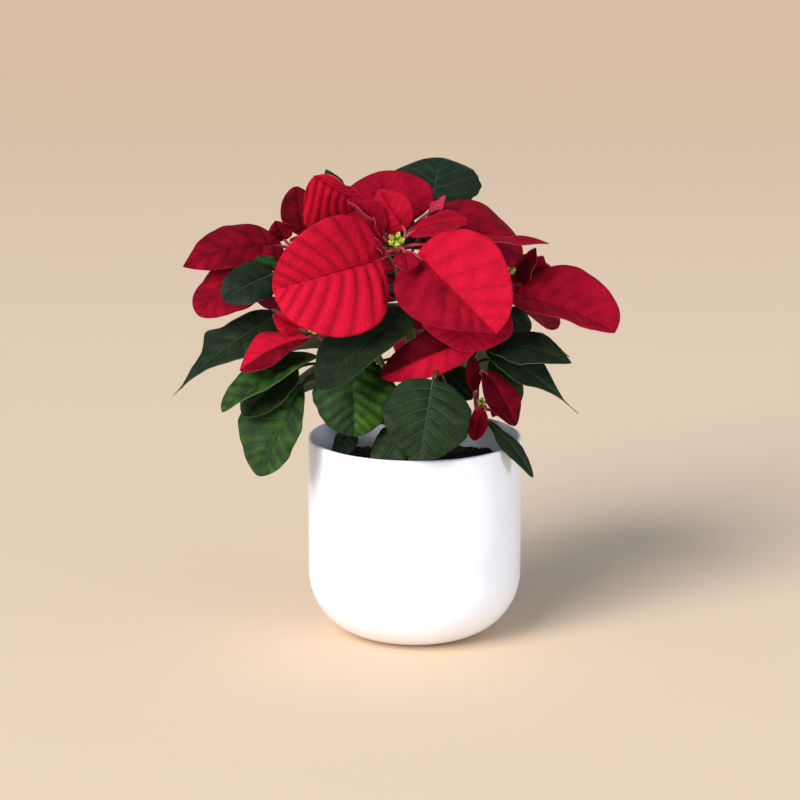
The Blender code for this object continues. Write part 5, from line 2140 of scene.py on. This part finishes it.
@dataclass
class Studio:
    """Floor, backdrop, light and camera. Sizes in metres, light in watts, turns in degrees."""

    # Colours of the paper near and far, whose difference is painted shade
    near_colour: str = "E8CBAD"
    far_colour: str = "DDBE9E"
    fade_depth: float = 3.6
    paper_constants: Constants = (("Roughness", 0.95), ("Specular IOR Level", 0.1))
    floor_depth: float = 8.0
    floor_width: float = 7.0
    wall_height: float = 4.0
    bend: float = 0.9
    bend_steps: int = 16
    camera_place: Point = (0.0, -1.942, 0.619)
    camera_pitch: float = 76.92
    camera_pan: float = 0.306
    focal_pixels: float = 2846.6
    sensor: float = 36.0
    clip: Range = (0.1, 50.0)
    sky_colour: str = "A6B8CC"
    sky_strength: float = 0.85
    key_place: Point = (-1.5, -1.9, 1.85)
    key_angle: float = 36.0
    key_strength: float = 3.1
    fill_places: tuple[Point, Point] = ((-1.5, -1.7, 0.75), (1.7, -1.5, 0.27))
    fill_powers: Range = (17.0, 19.0)
    fill_colour: str = "E4EEFF"
    fill_size: float = 0.45
    aim: Point = (0.0, 0.0, 0.20)

    def build(self) -> None:
        """Builds the whole studio."""
        self.build_sweep()
        self.build_lights()
        self.build_camera()

    def paper(self) -> Material:
        """Builds the backdrop's matt paper, with painted shade that makes it darker with depth."""
        surface = Surface("matt_backdrop_paper_beige")
        depth = surface.add("SeparateXYZ", (surface.add("TexCoord", (), "Object"),), "Y")
        # Painted shade: the paper darkens with depth, standing in for light that fades away from the lamps
        away = surface.add("MapRange", (depth, 0.0, self.fade_depth), **SMOOTH)
        mix = {MIX_SHARE: away, MIX_BELOW: self.near_colour, MIX_OVER: self.far_colour}
        shown = surface.add("Mix", mix, MIX_RESULT, **COLOURS)
        surface.feed(surface.shader, {"Base Color": shown, **dict(self.paper_constants)})
        return surface.material

    def build_sweep(self) -> None:
        """Builds a floor that bends up into a backdrop."""
        start = Vector((-self.floor_width / 2, -self.floor_width / 2, 0))
        section = [start, Vector((start.x, self.floor_depth - self.bend, 0))]
        for step in range(1, self.bend_steps + 1):
            angle = math.radians(90 * step / self.bend_steps)
            across = self.floor_depth - self.bend + self.bend * math.sin(angle)
            section.append(Vector((start.x, across, self.bend * (1 - math.cos(angle)))))
        section.append(Vector((start.x, self.floor_depth, self.wall_height)))
        bm = bmesh.new()
        edges = strung(bm, section)[1]
        made = bmesh.ops.extrude_edge_only(bm, edges=edges)["geom"]
        moved = [item for item in made if isinstance(item, BMVert)]
        bmesh.ops.translate(bm, verts=moved, vec=(self.floor_width, 0, 0))
        sweep_object = object_from(bm, "studio_sweep", None)
        sweep_object.data.materials.append(self.paper())

    def add_lamp(self, data: Light, place: Point) -> None:
        """Places a light and turns it to the plant.

        Args:
            data: The light.
            place: Where it stands.
        """
        lamp = bpy.data.objects.new(data.name, data)
        lamp.location = place
        aim = Vector(self.aim) - Vector(place)
        lamp.rotation_euler = aim.to_track_quat("-Z", "Y").to_euler()
        bpy.context.scene.collection.objects.link(lamp)

    def build_lights(self) -> None:
        """Builds a broad key light, a soft box at each side and the even light from all round."""
        key = bpy.data.lights.new("broad_key", "SUN")
        key.angle = math.radians(self.key_angle)
        key.energy = self.key_strength
        self.add_lamp(key, self.key_place)
        for side, place, power in zip(("left", "right"), self.fill_places, self.fill_powers):
            fill = bpy.data.lights.new(side + "_fill_softbox", "AREA")
            fill.shape = "SQUARE"
            fill.size = self.fill_size
            fill.energy = power
            fill.color = colour(self.fill_colour)[:3]
            self.add_lamp(fill, place)
        world = bpy.data.worlds.new("soft_studio")
        world.use_nodes = True
        sky = world.node_tree.nodes["Background"]
        sky.inputs["Color"].default_value = colour(self.sky_colour)
        sky.inputs["Strength"].default_value = self.sky_strength
        bpy.context.scene.world = world

    def build_camera(self) -> None:
        """Builds the camera at the photograph's place and angle."""
        data = bpy.data.cameras.new("photo_camera")
        data.sensor_width = self.sensor
        data.lens = self.focal_pixels / PHOTO_SIDE * self.sensor
        data.clip_start, data.clip_end = self.clip
        camera = bpy.data.objects.new("photo_camera", data)
        camera.location = self.camera_place
        camera.rotation_euler = (math.radians(self.camera_pitch), 0.0, math.radians(self.camera_pan))
        bpy.context.scene.collection.objects.link(camera)
        bpy.context.scene.camera = camera
        bpy.context.scene.view_settings.view_transform = "Standard"


def main() -> None:
    """Builds the pieces in order."""
    logging.basicConfig(level=logging.INFO, format="%(name)s %(message)s")
    Studio().build()
    pot = Pot()
    pot.build()
    Soil().build(pot)
    Trunk().build(SHOOTS)
    planting = Planting(SHOOTS, frame["nodes"])
    for shoot in SHOOTS:
        LeafyStem(shoot, planting.leaves[shoot.name]).build()
        Bloom(shoot, planting.bracts[shoot.name]).build()
        FlowerCluster(shoot).build()


if __name__ == "__main__":
    main()
